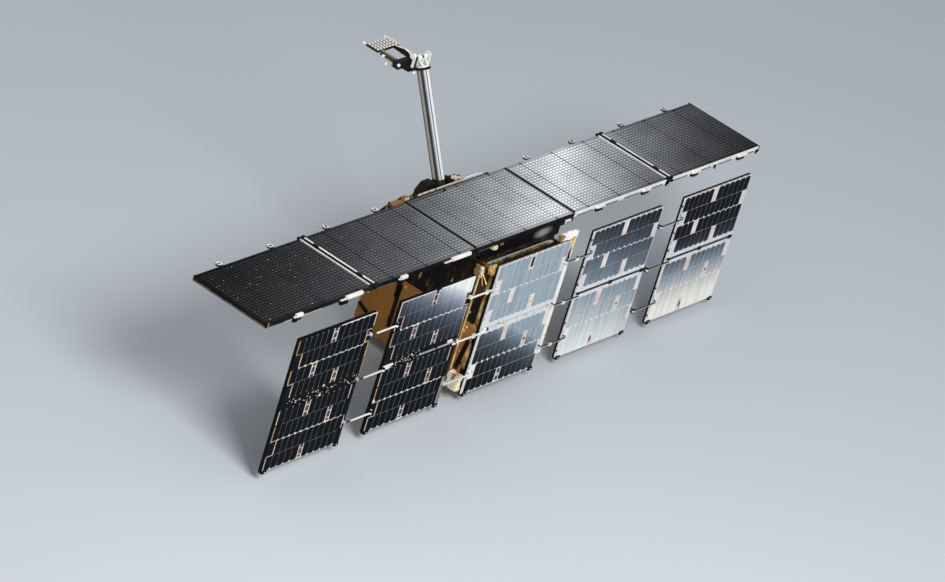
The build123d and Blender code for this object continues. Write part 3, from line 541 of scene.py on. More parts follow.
def toned(finish, tone, dark_tint, light_tint):
    """Colour the finish by one tone, its tint drifting from that of the darks to that of the lights."""
    mix = node(finish, "ShaderNodeMix", data_type="RGBA")
    mix.inputs[6].default_value = (*dark_tint, 1.0)
    mix.inputs[7].default_value = (*light_tint, 1.0)
    wire(finish, span(finish, tone, 0.0, 0.7), mix.inputs[0])
    made = node(finish, "ShaderNodeVectorMath", operation="SCALE")
    wire(finish, mix.outputs[2], made.inputs[0])
    wire(finish, tone, made.inputs["Scale"])
    wire(finish, made.outputs[0], shader(finish).inputs["Base Color"])


def bands(finish, share, stops):
    """Colours laid side by side along a share from 0 to 1."""
    made = node(finish, "ShaderNodeValToRGB")
    ramp = made.color_ramp
    ramp.elements[0].position = stops[0][0]
    ramp.elements[1].position = stops[-1][0]
    for place, colour in stops[1:-1]:
        ramp.elements.new(place)
    for element, (place, colour) in zip(ramp.elements, stops):
        element.color = (*colour, 1.0)
    wire(finish, share, made.inputs["Fac"])
    wire(finish, made.outputs["Color"], shader(finish).inputs["Base Color"])


def rough_by(finish, value, low, high):
    """Vary the roughness with a value."""
    wire(finish, span(finish, value, 0.3, 0.7, low, high), shader(finish).inputs["Roughness"])


def raised(finish, value, distance, strength):
    """Raise the surface by a value, as bump."""
    made = node(finish, "ShaderNodeBump")
    made.inputs["Distance"].default_value = distance
    made.inputs["Strength"].default_value = strength
    socket = shader(finish).inputs["Normal"]
    if socket.is_linked:
        wire(finish, socket.links[0].from_socket, made.inputs["Normal"])
    wire(finish, value, made.inputs["Height"])
    wire(finish, made.outputs["Normal"], socket)


def worn(name, colour, second, roughness, metallic=0.0, scale=40.0, bump=0.0003, specular=0.3):
    """A finish whose colour drifts to a second one, with a fine grain in its gloss and surface."""
    finish = new_finish(name, colour, roughness, metallic, specular)
    patches(finish, second, scale * 0.35, 0.35, 0.7, detail=3.0)
    fine = spots(finish, scale * 4.0, detail=6.0)
    rough_by(finish, fine, max(0.05, roughness - 0.08), min(1.0, roughness + 0.1))
    if bump > 0:
        raised(finish, fine, bump, 0.35)
    return finish


# Finishes

FINISHES = {}

# Colours that several finishes share
BLACK = (0.008, 0.008, 0.008)
WHITE = (0.86, 0.85, 0.82)
BROWN = (0.30, 0.24, 0.18)

# A bound beyond the satellite's ends
FAR = 2.0

# Plain name: colour, second colour, roughness, metallic, scale of the drift, specular level
WORN = {
    "white": ((0.84, 0.83, 0.80), (0.70, 0.69, 0.66), 0.45, 0.0, 40.0, 0.2),
    "cream": ((0.80, 0.64, 0.52), (0.62, 0.43, 0.33), 0.45, 0.0, 60.0, 0.2),
    "blush": ((0.74, 0.68, 0.66), (0.60, 0.50, 0.47), 0.45, 0.0, 60.0, 0.2),
    "amber": ((0.72, 0.46, 0.18), (0.48, 0.27, 0.08), 0.40, 0.2, 60.0, 0.3),
    "gold": ((0.95, 0.72, 0.34), (0.60, 0.34, 0.10), 0.30, 0.35, 60.0, 0.5),
    "copper": ((0.13, 0.080, 0.050), (0.32, 0.21, 0.14), 0.35, 0.5, 50.0, 0.3),
    "rust": ((0.16, 0.045, 0.025), (0.09, 0.030, 0.020), 0.45, 0.0, 60.0, 0.1),
    "umber": ((0.012, 0.008, 0.005), (0.070, 0.038, 0.012), 0.40, 0.2, 90.0, 0.2),
    "black": ((0.006, 0.006, 0.007), (0.014, 0.013, 0.013), 0.50, 0.0, 40.0, 0.04),
    "navy": ((0.016, 0.030, 0.055), (0.030, 0.050, 0.085), 0.30, 0.1, 40.0, 0.2),
    "dark": ((0.012, 0.011, 0.010), (0.035, 0.031, 0.026), 0.42, 0.1, 50.0, 0.1),
    "grey": ((0.20, 0.21, 0.23), (0.14, 0.14, 0.15), 0.40, 0.1, 50.0, 0.2),
    "steel": ((0.66, 0.65, 0.62), (0.46, 0.45, 0.43), 0.30, 0.7, 60.0, 0.5),
    "silver": ((0.62, 0.63, 0.64), (0.40, 0.41, 0.43), 0.30, 0.6, 40.0, 0.4),
    "machined": ((0.58, 0.58, 0.57), (0.46, 0.46, 0.46), 0.36, 0.9, 60.0, 0.5),
    "dash_1": ((0.80, 0.77, 0.72), (0.45, 0.43, 0.41), 0.40, 0.0, 60.0, 0.2),
    "faint_1": ((0.16, 0.165, 0.18), (0.09, 0.095, 0.11), 0.40, 0.0, 60.0, 0.1),
}


def make_finishes(sizes):
    """All finishes that more than one piece wears."""
    for name, (colour, second, roughness, metallic, scale, specular) in WORN.items():
        FINISHES[name] = worn(name, colour, second, roughness, metallic, scale, specular=specular)
    # Each foil gets its colour, its painted shade for the folds, and a dark colour for patches of painted
    # reflection.
    FINISHES["foil"] = foil_finish(
        "gold_foil", sizes.foil_colour, sizes.foil_shade, (0.018, 0.009, 0.003), 0.55)
    FINISHES["pale_foil"] = foil_finish(
        "pale_foil", (0.97, 0.95, 0.90), (0.90, 0.76, 0.50), (0.26, 0.14, 0.04), 0.1)
    lines = new_finish("cell_lines", (0.115, 0.125, 0.150), 0.4, 0.0, 0.1)
    raised(lines, spots(lines, 200.0), 0.0002, 0.3)
    FINISHES["lines_1"] = lines
    FINISHES["lines_2"] = solar_line_finish()


def foil_finish(name, colour, shade, dark, metallic):
    """Creased metal film: light folds and deep folds in painted shade, dark patches of painted reflection,
    sharp creases and soft waves.
    """
    finish = new_finish(name, tuple(colour), 0.26, metallic)
    waves = spots(finish, 16.0, detail=8.0)
    # Painted shade: the shade colour laid over the deep folds of the waves.
    tint(finish, span(finish, waves, 0.40, 0.58), tuple(shade))
    # Painted reflection: dark patches where the film mirrors dark surroundings.
    patches(finish, dark, 21.0, 0.50, 0.62, (1, 1, 0.5), 6.0)
    rough_by(finish, waves, 0.18, 0.4)
    raised(finish, spots(finish, 24.0, kind="ShaderNodeTexVoronoi"), 0.012, 0.5)
    raised(finish, waves, 0.010, 0.45)
    return finish


def antenna_painted_reflection(finish):
    """Painted reflection: how brightly the antenna's face mirrors the light, a peak over panel 4 that fades
    to both ends.
    """
    off = reckon(finish, "SUBTRACT", along(finish, (1.0, -1.2, 0.0)), 0.50)
    fall = reckon(finish, "SMOOTH_MIN", times(finish, off, 2.02), times(finish, off, -2.60), 0.35)
    tone = times(finish, reckon(finish, "EXPONENT", fall), 0.92)
    patch = span(finish, spots(finish, 5.0, (1.0, 1.6, 1.0), 3.0), 0.3, 0.7, 0.84, 1.16)
    return times(finish, tone, patch)


def antenna_board_finish(number):
    """Radiating face on top with a painted reflection, and the edge finish of that panel all round."""
    finish = new_finish("antenna_board_%d" % number, (0.02, 0.02, 0.02), 0.5, 0.0, 0.02)
    ribs = span(finish, stripes(finish, 1.5), 0.0, 0.02, 0.35, 1.0)
    # The face's tone is the painted reflection, broken by dark rib lines.
    tone = times(finish, times(finish, antenna_painted_reflection(finish), 0.58), ribs)
    toned(finish, tone, (0.94, 1.0, 1.10), (0.98, 1.0, 1.02))
    edge = (0.84, 0.83, 0.80) if number > 3 else (0.008, 0.008, 0.009)
    for way, colour in (
        (-Y, edge), (-Z, (0.012, 0.012, 0.014)), (Y, (0.020, 0.019, 0.017)),
        (X, (0.010, 0.010, 0.010)), (-X, (0.010, 0.009, 0.008)),
    ):
        tint(finish, facing(finish, way), colour)
    raised(finish, spots(finish, 90.0), 0.0004, 0.4)
    return finish


def bump_finish():
    """Small light ovals of the radiating face with the painted reflection, a painted highlight on their tops,
    and painted glints on the left wing.
    """
    finish = new_finish("antenna_bumps", (0.06, 0.06, 0.06), 0.4, 0.0, 0.04)
    # Painted highlight and shade: the bumps lighter towards their tops, darker on their sides.
    height = span(finish, along(finish, Z), ANTENNA_TOP + 0.0002, ANTENNA_TOP + 0.0015, 0.66, 1.34)
    tone = reckon(finish, "ADD", times(finish, antenna_painted_reflection(finish), height), 0.004)
    toned(finish, tone, (0.97, 1.0, 1.06), (0.99, 1.0, 1.01))
    # Painted glints: small light specks on the bumps of the left wing.
    left_wing = zone(finish, X, -FAR, -0.4)
    patches(finish, (0.42, 0.43, 0.45), 110.0, 0.69, 0.76, detail=1.0, within=left_wing)
    return finish


def solar_place(finish, number):
    """How far a point lies right of the panel's left edge and below its top edge, in metres."""
    left = solar_middle(number) - SOLAR_LENGTH / 2
    across = reckon(finish, "SUBTRACT", along(finish, X), left)
    down = reckon(finish, "SUBTRACT", SOLAR_TOP, along(finish, Z))
    return across, down


def solar_painted_reflection(finish, number):
    """Painted reflection: how brightly the cells of a panel mirror the light, place by place."""
    across, down = solar_place(finish, number)
    if number in CELL_GLARE:
        start, right, below, top = CELL_GLARE[number]
        rise = reckon(finish, "MULTIPLY_ADD", across, right, start)
        rise = reckon(finish, "MULTIPLY_ADD", down, below, rise)
        light = reckon(finish, "MINIMUM", reckon(finish, "EXPONENT", rise), top)
        return reckon(finish, "ADD", light, 0.0045)
    if number == 1:
        return span(finish, down, 0.0, 0.6, 0.0042, 0.0050)
    if number == 4:
        value = reckon(finish, "MULTIPLY_ADD", down, 1.22, 0.225)
        value = reckon(finish, "MULTIPLY_ADD", across, -0.22, value)
    else:
        value = span(finish, down, 0.150, 0.590, 0.10, 0.93)
    return reckon(finish, "POWER", value, 2.2)


def cell_finish(number):
    """Glassy cells with fine upright fingers, paler where the panel mirrors the light, as painted reflection.
    """
    finish = new_finish("solar_cells_%d" % number, (0.01, 0.01, 0.015), 0.3, 0.0, 0.015)
    # Tints of the painted reflection's light on panels 3 and 5, and on the others.
    light = {3: (0.84, 1.0, 0.96), 5: (1.03, 1.0, 0.93)}.get(number, (0.95, 1.0, 0.98))
    streak = span(finish, spots(finish, 50.0, (1.0, 0.1, 0.04), 2.0), 0.35, 0.65, 0.90, 1.08)
    toned(finish, times(finish, solar_painted_reflection(finish, number), streak), (0.76, 1.0, 1.30), light)
    raised(finish, stripes(finish, 150.0), 0.0002, 0.3)
    return finish


def solar_line_finish():
    """Lines between the cells of panel 2, bright with the painted reflection where that panel mirrors the
    light.
    """
    finish = new_finish("cell_lines_2", (0.1, 0.1, 0.12), 0.4, 0.0, 0.1)
    tone = reckon(finish, "MULTIPLY_ADD", solar_painted_reflection(finish, 2), 0.85, 0.17)
    toned(finish, tone, (0.85, 0.95, 1.15), (0.97, 1.0, 1.02))
    return finish


def solar_board_finish(number):
    """Board face in front, black edges, black feet and a woven back."""
    finish = new_finish("solar_board_%d" % number, (0.010, 0.010, 0.012), 0.4, 0.0, 0.02)
    weave = node(finish, "ShaderNodeTexChecker")
    weave.inputs["Scale"].default_value = 180.0
    weave.inputs["Color1"].default_value = (0.014, 0.015, 0.017, 1.0)
    weave.inputs["Color2"].default_value = (0.034, 0.035, 0.038, 1.0)
    wire(finish, place_of(finish), weave.inputs["Vector"])
    wire(finish, weave.outputs["Color"], shader(finish).inputs["Base Color"])
    for way in (X, -X, Z, -Z):
        tint(finish, facing(finish, way), (0.008, 0.008, 0.009))
    front = facing(finish, -Y)
    if number < 3:
        tint(finish, front, (0.0045, 0.0055, 0.0075))
    else:
        tint(finish, front, (0.62, 0.63, 0.65))
        across, down = solar_place(finish, number)
        tint(finish, times(finish, front, span(finish, down, 0.15, 0.55)), (0.80, 0.80, 0.79))
        patches(finish, (0.62, 0.55, 0.53), 14.0, 0.45, 0.75, detail=5.0, most=0.5, within=front)
        rim = zone(finish, Y, SOLAR_FACE - 0.001, SOLAR_FACE + 0.005)
        tint(finish, times(finish, facing(finish, Z), rim), BROWN)
        tint(finish, times(finish, facing(finish, -X), rim), (0.74, 0.72, 0.70))
    rim = zone(finish, Y, SOLAR_FACE - 0.001, SOLAR_FACE + 0.004)
    tint(finish, times(finish, facing(finish, -Z), rim), (0.55, 0.52, 0.48))
    tint(finish, zone(finish, Z, 0.0, SOLAR_BOTTOM - 0.0005), (0.007, 0.007, 0.007))
    raised(finish, spots(finish, 160.0), 0.0003, 0.3)
    return finish


def mast_finish():
    """Polished tube: painted reflections as dark and bright streaks that run its whole length."""
    finish = new_finish("polished_tube", (0.7, 0.7, 0.7), 0.3, 0.25, 0.3)
    # A direction square to the tube, and where the tube's axis lies along it
    across = Vector((0.634, -0.673, 0.381))
    middle = MAST_ROOT.dot(across)
    share = node(finish, "ShaderNodeMapRange")
    share.inputs["From Min"].default_value = middle - MAST_RADIUS
    share.inputs["From Max"].default_value = middle + MAST_RADIUS
    wire(finish, along(finish, across), share.inputs["Value"])
    # Painted reflections: dark and light bands laid across the tube's width.
    bands(finish, share.outputs["Result"], (
        (0.00, (0.02, 0.014, 0.010)), (0.07, (0.16, 0.13, 0.10)), (0.13, (0.50, 0.44, 0.37)),
        (0.25, (0.34, 0.31, 0.28)), (0.32, (0.030, 0.030, 0.032)), (0.45, (0.030, 0.036, 0.042)),
        (0.53, (0.20, 0.21, 0.23)), (0.66, (0.58, 0.59, 0.61)), (0.71, (0.20, 0.20, 0.21)),
        (0.75, (0.012, 0.012, 0.012)), (0.79, (0.80, 0.80, 0.80)), (0.93, (0.90, 0.90, 0.90)),
        (1.00, (0.35, 0.35, 0.36)),
    ))
    patches(finish, (0.16, 0.16, 0.17), 30.0, 0.55, 0.8, (3, 1, 0.4), most=0.35)
    rough_by(finish, spots(finish, 60.0, (6, 6, 1)), 0.25, 0.4)
    return finish


def amber_side_finish():
    """Flat amber film on the lower sides of the body."""
    finish = new_finish("amber_film", (0.37, 0.165, 0.032), 0.45, 0.0, 0.15)
    patches(finish, (0.29, 0.120, 0.021), 5.0, 0.35, 0.7, detail=3.0)
    raised(finish, spots(finish, 9.0, detail=2.0), 0.002, 0.25)
    return finish


def painted_shade_side_finish():
    """Film on the upper sides of the body, near black as painted shade under the antenna, with painted brown
    and gold glints.
    """
    finish = new_finish("painted_shade_film", (0.010, 0.008, 0.006), 0.35, 0.1, 0.1)
    # Painted glints: brown and gold specks of mirrored light on the dark film.
    patches(finish, (0.075, 0.034, 0.009), 13.0, 0.54, 0.66, (1.0, 1.8, 0.35), 5.0)
    patches(finish, (0.50, 0.27, 0.07), 19.0, 0.64, 0.70, (1.0, 2.2, 0.5), 5.0)
    raised(finish, spots(finish, 16.0, detail=6.0), 0.008, 0.5)
    return finish


def fascia_finish():
    """Glossy black plate, its black partly real and partly painted shade under the antenna, with one soft
    painted highlight and a painted brown reflection towards its lower edge.
    """
    finish = new_finish("black_fascia", (0.006, 0.006, 0.007), 0.25, 0.0, 0.05)
    bottom = corners("front_fascia")[0].z
    # Painted reflection: brown towards the lower edge.
    tint(finish, span(finish, along(finish, Z), bottom + 0.016, bottom), (0.030, 0.014, 0.005))
    # Painted highlight: one soft light patch round this point, wider than tall.
    highlight_x, highlight_z, flatness = 0.146, 0.648, 0.4
    mapping = node(finish, "ShaderNodeMapping")
    mapping.inputs["Location"].default_value = (-highlight_x * flatness, 0.0, -highlight_z)
    mapping.inputs["Scale"].default_value = (flatness, 0.0, 1.0)
    wire(finish, place_of(finish), mapping.inputs["Vector"])
    made = node(finish, "ShaderNodeVectorMath", operation="LENGTH")
    wire(finish, mapping.outputs["Vector"], made.inputs[0])
    tint(finish, span(finish, made.outputs["Value"], 0.002, 0.030, 0.8, 0.0), (0.42, 0.42, 0.43))
    raised(finish, spots(finish, 60.0), 0.0003, 0.2)
    return finish


def flange_finish():
    """Bright corner angle: cream on the left, white on the right, spotted gold inside at the top."""
    finish = new_finish("corner_angle", (0.90, 0.88, 0.84), 0.35, 0.0, 0.3)
    left = span(finish, along(finish, X), BODY_SIDE + 0.020, BODY_SIDE + 0.009)
    tint(finish, left, (0.88, 0.72, 0.44))
    inner = zone(finish, X, BODY_SIDE + 0.002, BODY_SIDE + 0.019)
    inside = times(finish, inner, span(finish, along(finish, Z), 0.50, 0.54))
    tint(finish, inside, (0.72, 0.47, 0.16))
    patches(finish, (0.030, 0.016, 0.006), 62.0, 0.54, 0.60, (1, 1, 0.7), 2.0, within=inside)
    patches(finish, (0.60, 0.40, 0.15), 24.0, 0.62, 0.72)
    raised(finish, spots(finish, 20.0, detail=6.0), 0.006, 0.4)
    return finish


def lug_finish():
    """Edge fittings: white caps and rings above, black blocks below, copper and black end posts."""
    finish = worn("edge_fittings", (0.85, 0.84, 0.81), (0.68, 0.66, 0.62), 0.4, specular=0.2)
    tint(finish, zone(finish, Z, 0.0, ANTENNA_UNDER + 0.0076), BLACK)
    behind = zone(finish, Y, ANTENNA_BACK - 0.002, ANTENNA_BACK + 0.05)
    rims = reckon(finish, "SUBTRACT", 1.0, facing(finish, Z, 0.5, 0.8))
    blocks = zone(finish, Y, ANTENNA_BACK - 0.002, ANTENNA_BACK + 0.008)
    for share in (times(finish, behind, rims), blocks):
        tint(finish, share, (0.010, 0.009, 0.009))
    patches(finish, (0.16, 0.12, 0.10), 70.0, 0.52, 0.60, detail=1.0, most=0.8, within=behind)
    posts = ANTENNA_END - 0.0145
    tint(finish, zone(finish, X, -FAR, -posts), (0.34, 0.20, 0.12))
    tint(finish, zone(finish, X, posts, FAR), (0.010, 0.010, 0.010))
    return finish


def seam_finish():
    """Hinge bars of the outer seams: a thin white line along the outside of each, black within."""
    finish = worn("seam_bars", (0.86, 0.86, 0.84), (0.72, 0.72, 0.71), 0.35, specular=0.3)
    for side in (-1, 1):
        seam = side * 1.5 * ANTENNA_PITCH
        tint(finish, zone(finish, X, seam - 0.0130, seam + 0.0056), BLACK)
    return finish


def rod_finish():
    """Array rods: bright on the left wing, dark with a bright underside on the right wing."""
    finish = worn("array_rods", (0.86, 0.85, 0.83), (0.66, 0.64, 0.60), 0.3, 0.1, specular=0.4)
    right = zone(finish, X, 0.20, FAR)
    upper = facing(finish, (0.35, 0.20, 0.92), -0.15, 0.05)
    tint(finish, times(finish, right, upper), (0.010, 0.011, 0.013))
    edge = solar_middle(1) + SOLAR_LENGTH / 2
    tint(finish, zone(finish, X, edge - 0.0095, edge + 0.0155), (0.020, 0.022, 0.026))
    return finish


def head_finish():
    """Head frame: black cheeks and cross-member, a brown left arm lighter on top as painted light, and a
    white right arm.
    """
    finish = worn("head_frame", BLACK, (0.022, 0.020, 0.018), 0.4, specular=0.1)
    middle = MAST_ROOT.x
    tint(finish, zone(finish, X, middle + 0.0495, FAR), WHITE)
    cheek = times(finish, zone(finish, X, middle + 0.0382, FAR), zone(finish, Y, 0.0, 0.545))
    tint(finish, cheek, (0.80, 0.79, 0.76))
    arm = times(finish, zone(finish, X, middle - 0.0375, middle - 0.0245), zone(finish, Y, 0.5765, FAR))
    # Painted light and shade: the arm dark brown on its sides, a lighter brown on its top.
    tint(finish, arm, (0.10, 0.062, 0.036))
    tint(finish, times(finish, arm, facing(finish, Z)), BROWN)
    return finish


def dish_finish():
    """Black plate, white cups and a light rail with dark spots."""
    finish = worn("dish_face", (0.010, 0.010, 0.011), (0.022, 0.022, 0.024), 0.45, specular=0.1)
    cups = span(finish, along(finish, Z), PLATE_TOP + 0.0010, PLATE_TOP + 0.0018)
    tint(finish, cups, WHITE)
    rail = zone(finish, X, PLATE_RIGHT + 0.0005, FAR)
    tint(finish, rail, (0.50, 0.49, 0.46))
    patches(finish, (0.02, 0.02, 0.02), 55.0, 0.56, 0.62, detail=2.0, within=rail)
    back = times(finish, facing(finish, Y), zone(finish, Z, 0.0, PLATE_TOP))
    tint(finish, back, (0.60, 0.58, 0.54))
    return finish


def strip_finish():
    """Strip behind the antenna: brown, cream and then white along its top, dark patches near the mast."""
    finish = new_finish("back_strip", (0.060, 0.034, 0.012), 0.4, 0.1, 0.2)
    top = span(finish, along(finish, Z), BODY_TOP + 0.048, BODY_TOP + 0.054)
    tint(finish, top, (0.80, 0.74, 0.62))
    tint(finish, times(finish, top, zone(finish, X, 0.13, 0.5)), (0.88, 0.87, 0.84))
    left = zone(finish, X, -0.24, 0.13)
    patches(finish, (0.045, 0.028, 0.012), 26.0, 0.56, 0.60, (1, 1, 0.3), 2.0, within=left)
    raised(finish, spots(finish, 30.0, detail=6.0), 0.003, 0.4)
    return finish


def box_finish():
    """Dark deck boxes, their right one brown with a painted highlight as a cream top."""
    finish = worn("deck_boxes", BLACK, (0.026, 0.020, 0.015), 0.45, specular=0.1)
    right = zone(finish, X, 0.10, 0.26)
    tint(finish, right, (0.060, 0.036, 0.018))
    # Painted highlight: a cream colour on the top face of the right box.
    tint(finish, times(finish, right, facing(finish, Z)), (0.62, 0.52, 0.38))
    patches(finish, (0.020, 0.014, 0.010), 40.0, 0.50, 0.56, detail=2.0, within=right)
    return finish


def root_finish():
    """Dark fittings at the mast's foot with a few bright corners."""
    finish = worn("mast_foot", BLACK, (0.024, 0.020, 0.016), 0.45, specular=0.1)
    patches(finish, (0.70, 0.62, 0.50), 48.0, 0.66, 0.69, detail=1.0)
    return finish


# Sizes and colours that a user would change


class AntennaSizes(bpy.types.PropertyGroup):
    """Radiating face and its edges."""

    bump_pitch_x: bpy.props.FloatProperty(
        name="Bump pitch along", description="Distance between bumps along the array", default=0.0211,
        unit="LENGTH")
    bump_pitch_y: bpy.props.FloatProperty(
        name="Bump pitch across", description="Distance between rows of bumps", default=0.0150,
        unit="LENGTH")
    bump_length: bpy.props.FloatProperty(
        name="Bump length", description="Length of one oval bump", default=0.0172, unit="LENGTH")
    bump_width: bpy.props.FloatProperty(
        name="Bump width", description="Width of one oval bump", default=0.0106, unit="LENGTH")
    bump_height: bpy.props.FloatProperty(
        name="Bump height", description="Height of one oval bump", default=0.0016, unit="LENGTH")
    margin: bpy.props.FloatProperty(
        name="Face margin", description="Bare edge round the bumps", default=0.010, unit="LENGTH")


class SolarSizes(bpy.types.PropertyGroup):
    """Cells, ribbons and tubes of the solar panels."""

    cell_width: bpy.props.FloatProperty(
        name="Cell width", description="Wanted width of one cell", default=0.036, unit="LENGTH")
    cell_gap: bpy.props.FloatProperty(
        name="Cell gap", description="Gap between neighbouring cells", default=0.0032, unit="LENGTH")
    cell_rise: bpy.props.FloatProperty(
        name="Cell thickness", description="How far a cell stands off its board", default=0.0010,
        unit="LENGTH")
    cell_corner: bpy.props.FloatProperty(
        name="Cell corner", description="Radius of a cell's rounded corners", default=0.0085, unit="LENGTH")
    ribbon_width: bpy.props.FloatProperty(
        name="Ribbon width", description="Width of an interconnect ribbon", default=0.0044, unit="LENGTH")
    tube_radius: bpy.props.FloatProperty(
        name="Tube radius", description="Radius of the tube across a right wing panel", default=0.0045,
        unit="LENGTH")


class BodySizes(bpy.types.PropertyGroup):
    """Foil over the body."""

    crumple: bpy.props.FloatProperty(
        name="Crumple", description="How deep the foil is creased", default=0.0045, unit="LENGTH")
    foil_colour: bpy.props.FloatVectorProperty(
        name="Foil colour", description="Colour of the gold film", default=(0.90, 0.62, 0.24),
        subtype="COLOR", size=3)
    # The foil shade is painted shade in the foil's folds.
    foil_shade: bpy.props.FloatVectorProperty(
        name="Foil shade", description="Colour in the foil's folds", default=(0.46, 0.22, 0.05),
        subtype="COLOR", size=3)


class StudioSizes(bpy.types.PropertyGroup):
    """Floor and lights."""

    floor_colour: bpy.props.FloatVectorProperty(
        name="Floor colour", description="Colour of the plain floor", default=(0.56, 0.60, 0.64),
        subtype="COLOR", size=3)
    sky: bpy.props.FloatProperty(
        name="Sky strength", description="Strength of the even light", default=0.50)
    key: bpy.props.FloatProperty(name="Key power", description="Power of the large key lamp", default=580.0)


# Operators, one for each group of pieces


# Finish of each solid that shares one with other pieces, by the start of its name
PLAIN = {
    "separation_ring": "machined", "bus_core": "foil", "antenna_beams": "dark", "outer_forks": "black",
    "root_knuckles": "black", "root_hinge_brackets": "black", "solar_pads": "black", "mast_clevis": "black",
    # The deck plate is dark as painted shade, for the deck lies in the antenna's shadow.
    "mast_cap": "black", "head_yoke": "white", "deck_plate": "dark", "head_pins": "white",
    "corner_box": "pale_foil", "gold_bracket": "gold", "side_straps": "black", "deck_rod": "silver",
    "radiator": "white", "star_trackers": "black", "thruster": "dark",
}


class SATELLITE_OT_frame_finishes(bpy.types.Operator):
    """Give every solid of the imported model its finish"""

    bl_idname = "satellite.frame_finishes"
    bl_label = "Finish the packed solids"

    def execute(self, context):
        make_finishes(context.scene.satellite_body)
        finishes = {
            "lower_side_panel": amber_side_finish(), "upper_side_panel": painted_shade_side_finish(),
            "edge_lugs": lug_finish(), "seam_bar": seam_finish(), "solar_rods": rod_finish(),
            "mast_tube": mast_finish(), "mast_root": root_finish(), "head_frame": head_finish(),
            "dish_plate": dish_finish(), "back_strip": strip_finish(), "front_flange": flange_finish(),
            "front_fascia": fascia_finish(), "deck_boxes": box_finish(), **PLAIN,
        }
        for number in PANELS:
            finishes["antenna_panel_%d" % number] = antenna_board_finish(number)
            finishes["solar_panel_%d" % number] = solar_board_finish(number)
        for name, piece in frame["nodes"].items():
            start = next((start for start in finishes if name.startswith(start)), None)
            if start is None:
                raise RuntimeError("no finish for " + name)
            coat(piece, finishes[start])
        return {"FINISHED"}


class SATELLITE_OT_antenna_bumps(bpy.types.Operator):
    """Cover each antenna panel's face with rows of small oval bumps"""

    bl_idname = "satellite.antenna_bumps"
    bl_label = "Antenna bumps"

    def execute(self, context):
        sizes = context.scene.satellite_antenna
        columns = int((ANTENNA_LENGTH - 2 * sizes.margin) / sizes.bump_pitch_x)
        rows = int((ANTENNA_BACK - ANTENNA_FRONT - 2 * sizes.margin) / sizes.bump_pitch_y)
        start_x = -(columns - 1) / 2 * sizes.bump_pitch_x
        start_y = (ANTENNA_FRONT + ANTENNA_BACK) / 2 - (rows - 1) / 2 * sizes.bump_pitch_y
        clear_selection()
        bpy.ops.mesh.primitive_ico_sphere_add(
            subdivisions=2, radius=0.5, location=(start_x, start_y, ANTENNA_TOP),
            scale=(sizes.bump_length, sizes.bump_width, 2 * sizes.bump_height))
        bump = settle("bump")
        enter_edit("SELECT")
        bpy.ops.mesh.bisect(plane_co=Z * ANTENNA_TOP, plane_no=Z, clear_inner=True, use_fill=True)
        leave_edit()
        repeat(bump, columns, X * sizes.bump_pitch_x)
        repeat(bump, rows, Y * sizes.bump_pitch_y)
        bpy.ops.object.shade_smooth_by_angle(angle=math.radians(60))
        coat(bump, bump_finish())
        for number in PANELS:
            grid = copy_moved(bump, "antenna_bumps_%d" % number, X * antenna_middle(number))
            place_on(grid, antenna_body(number))
        bpy.data.objects.remove(bump)
        return {"FINISHED"}


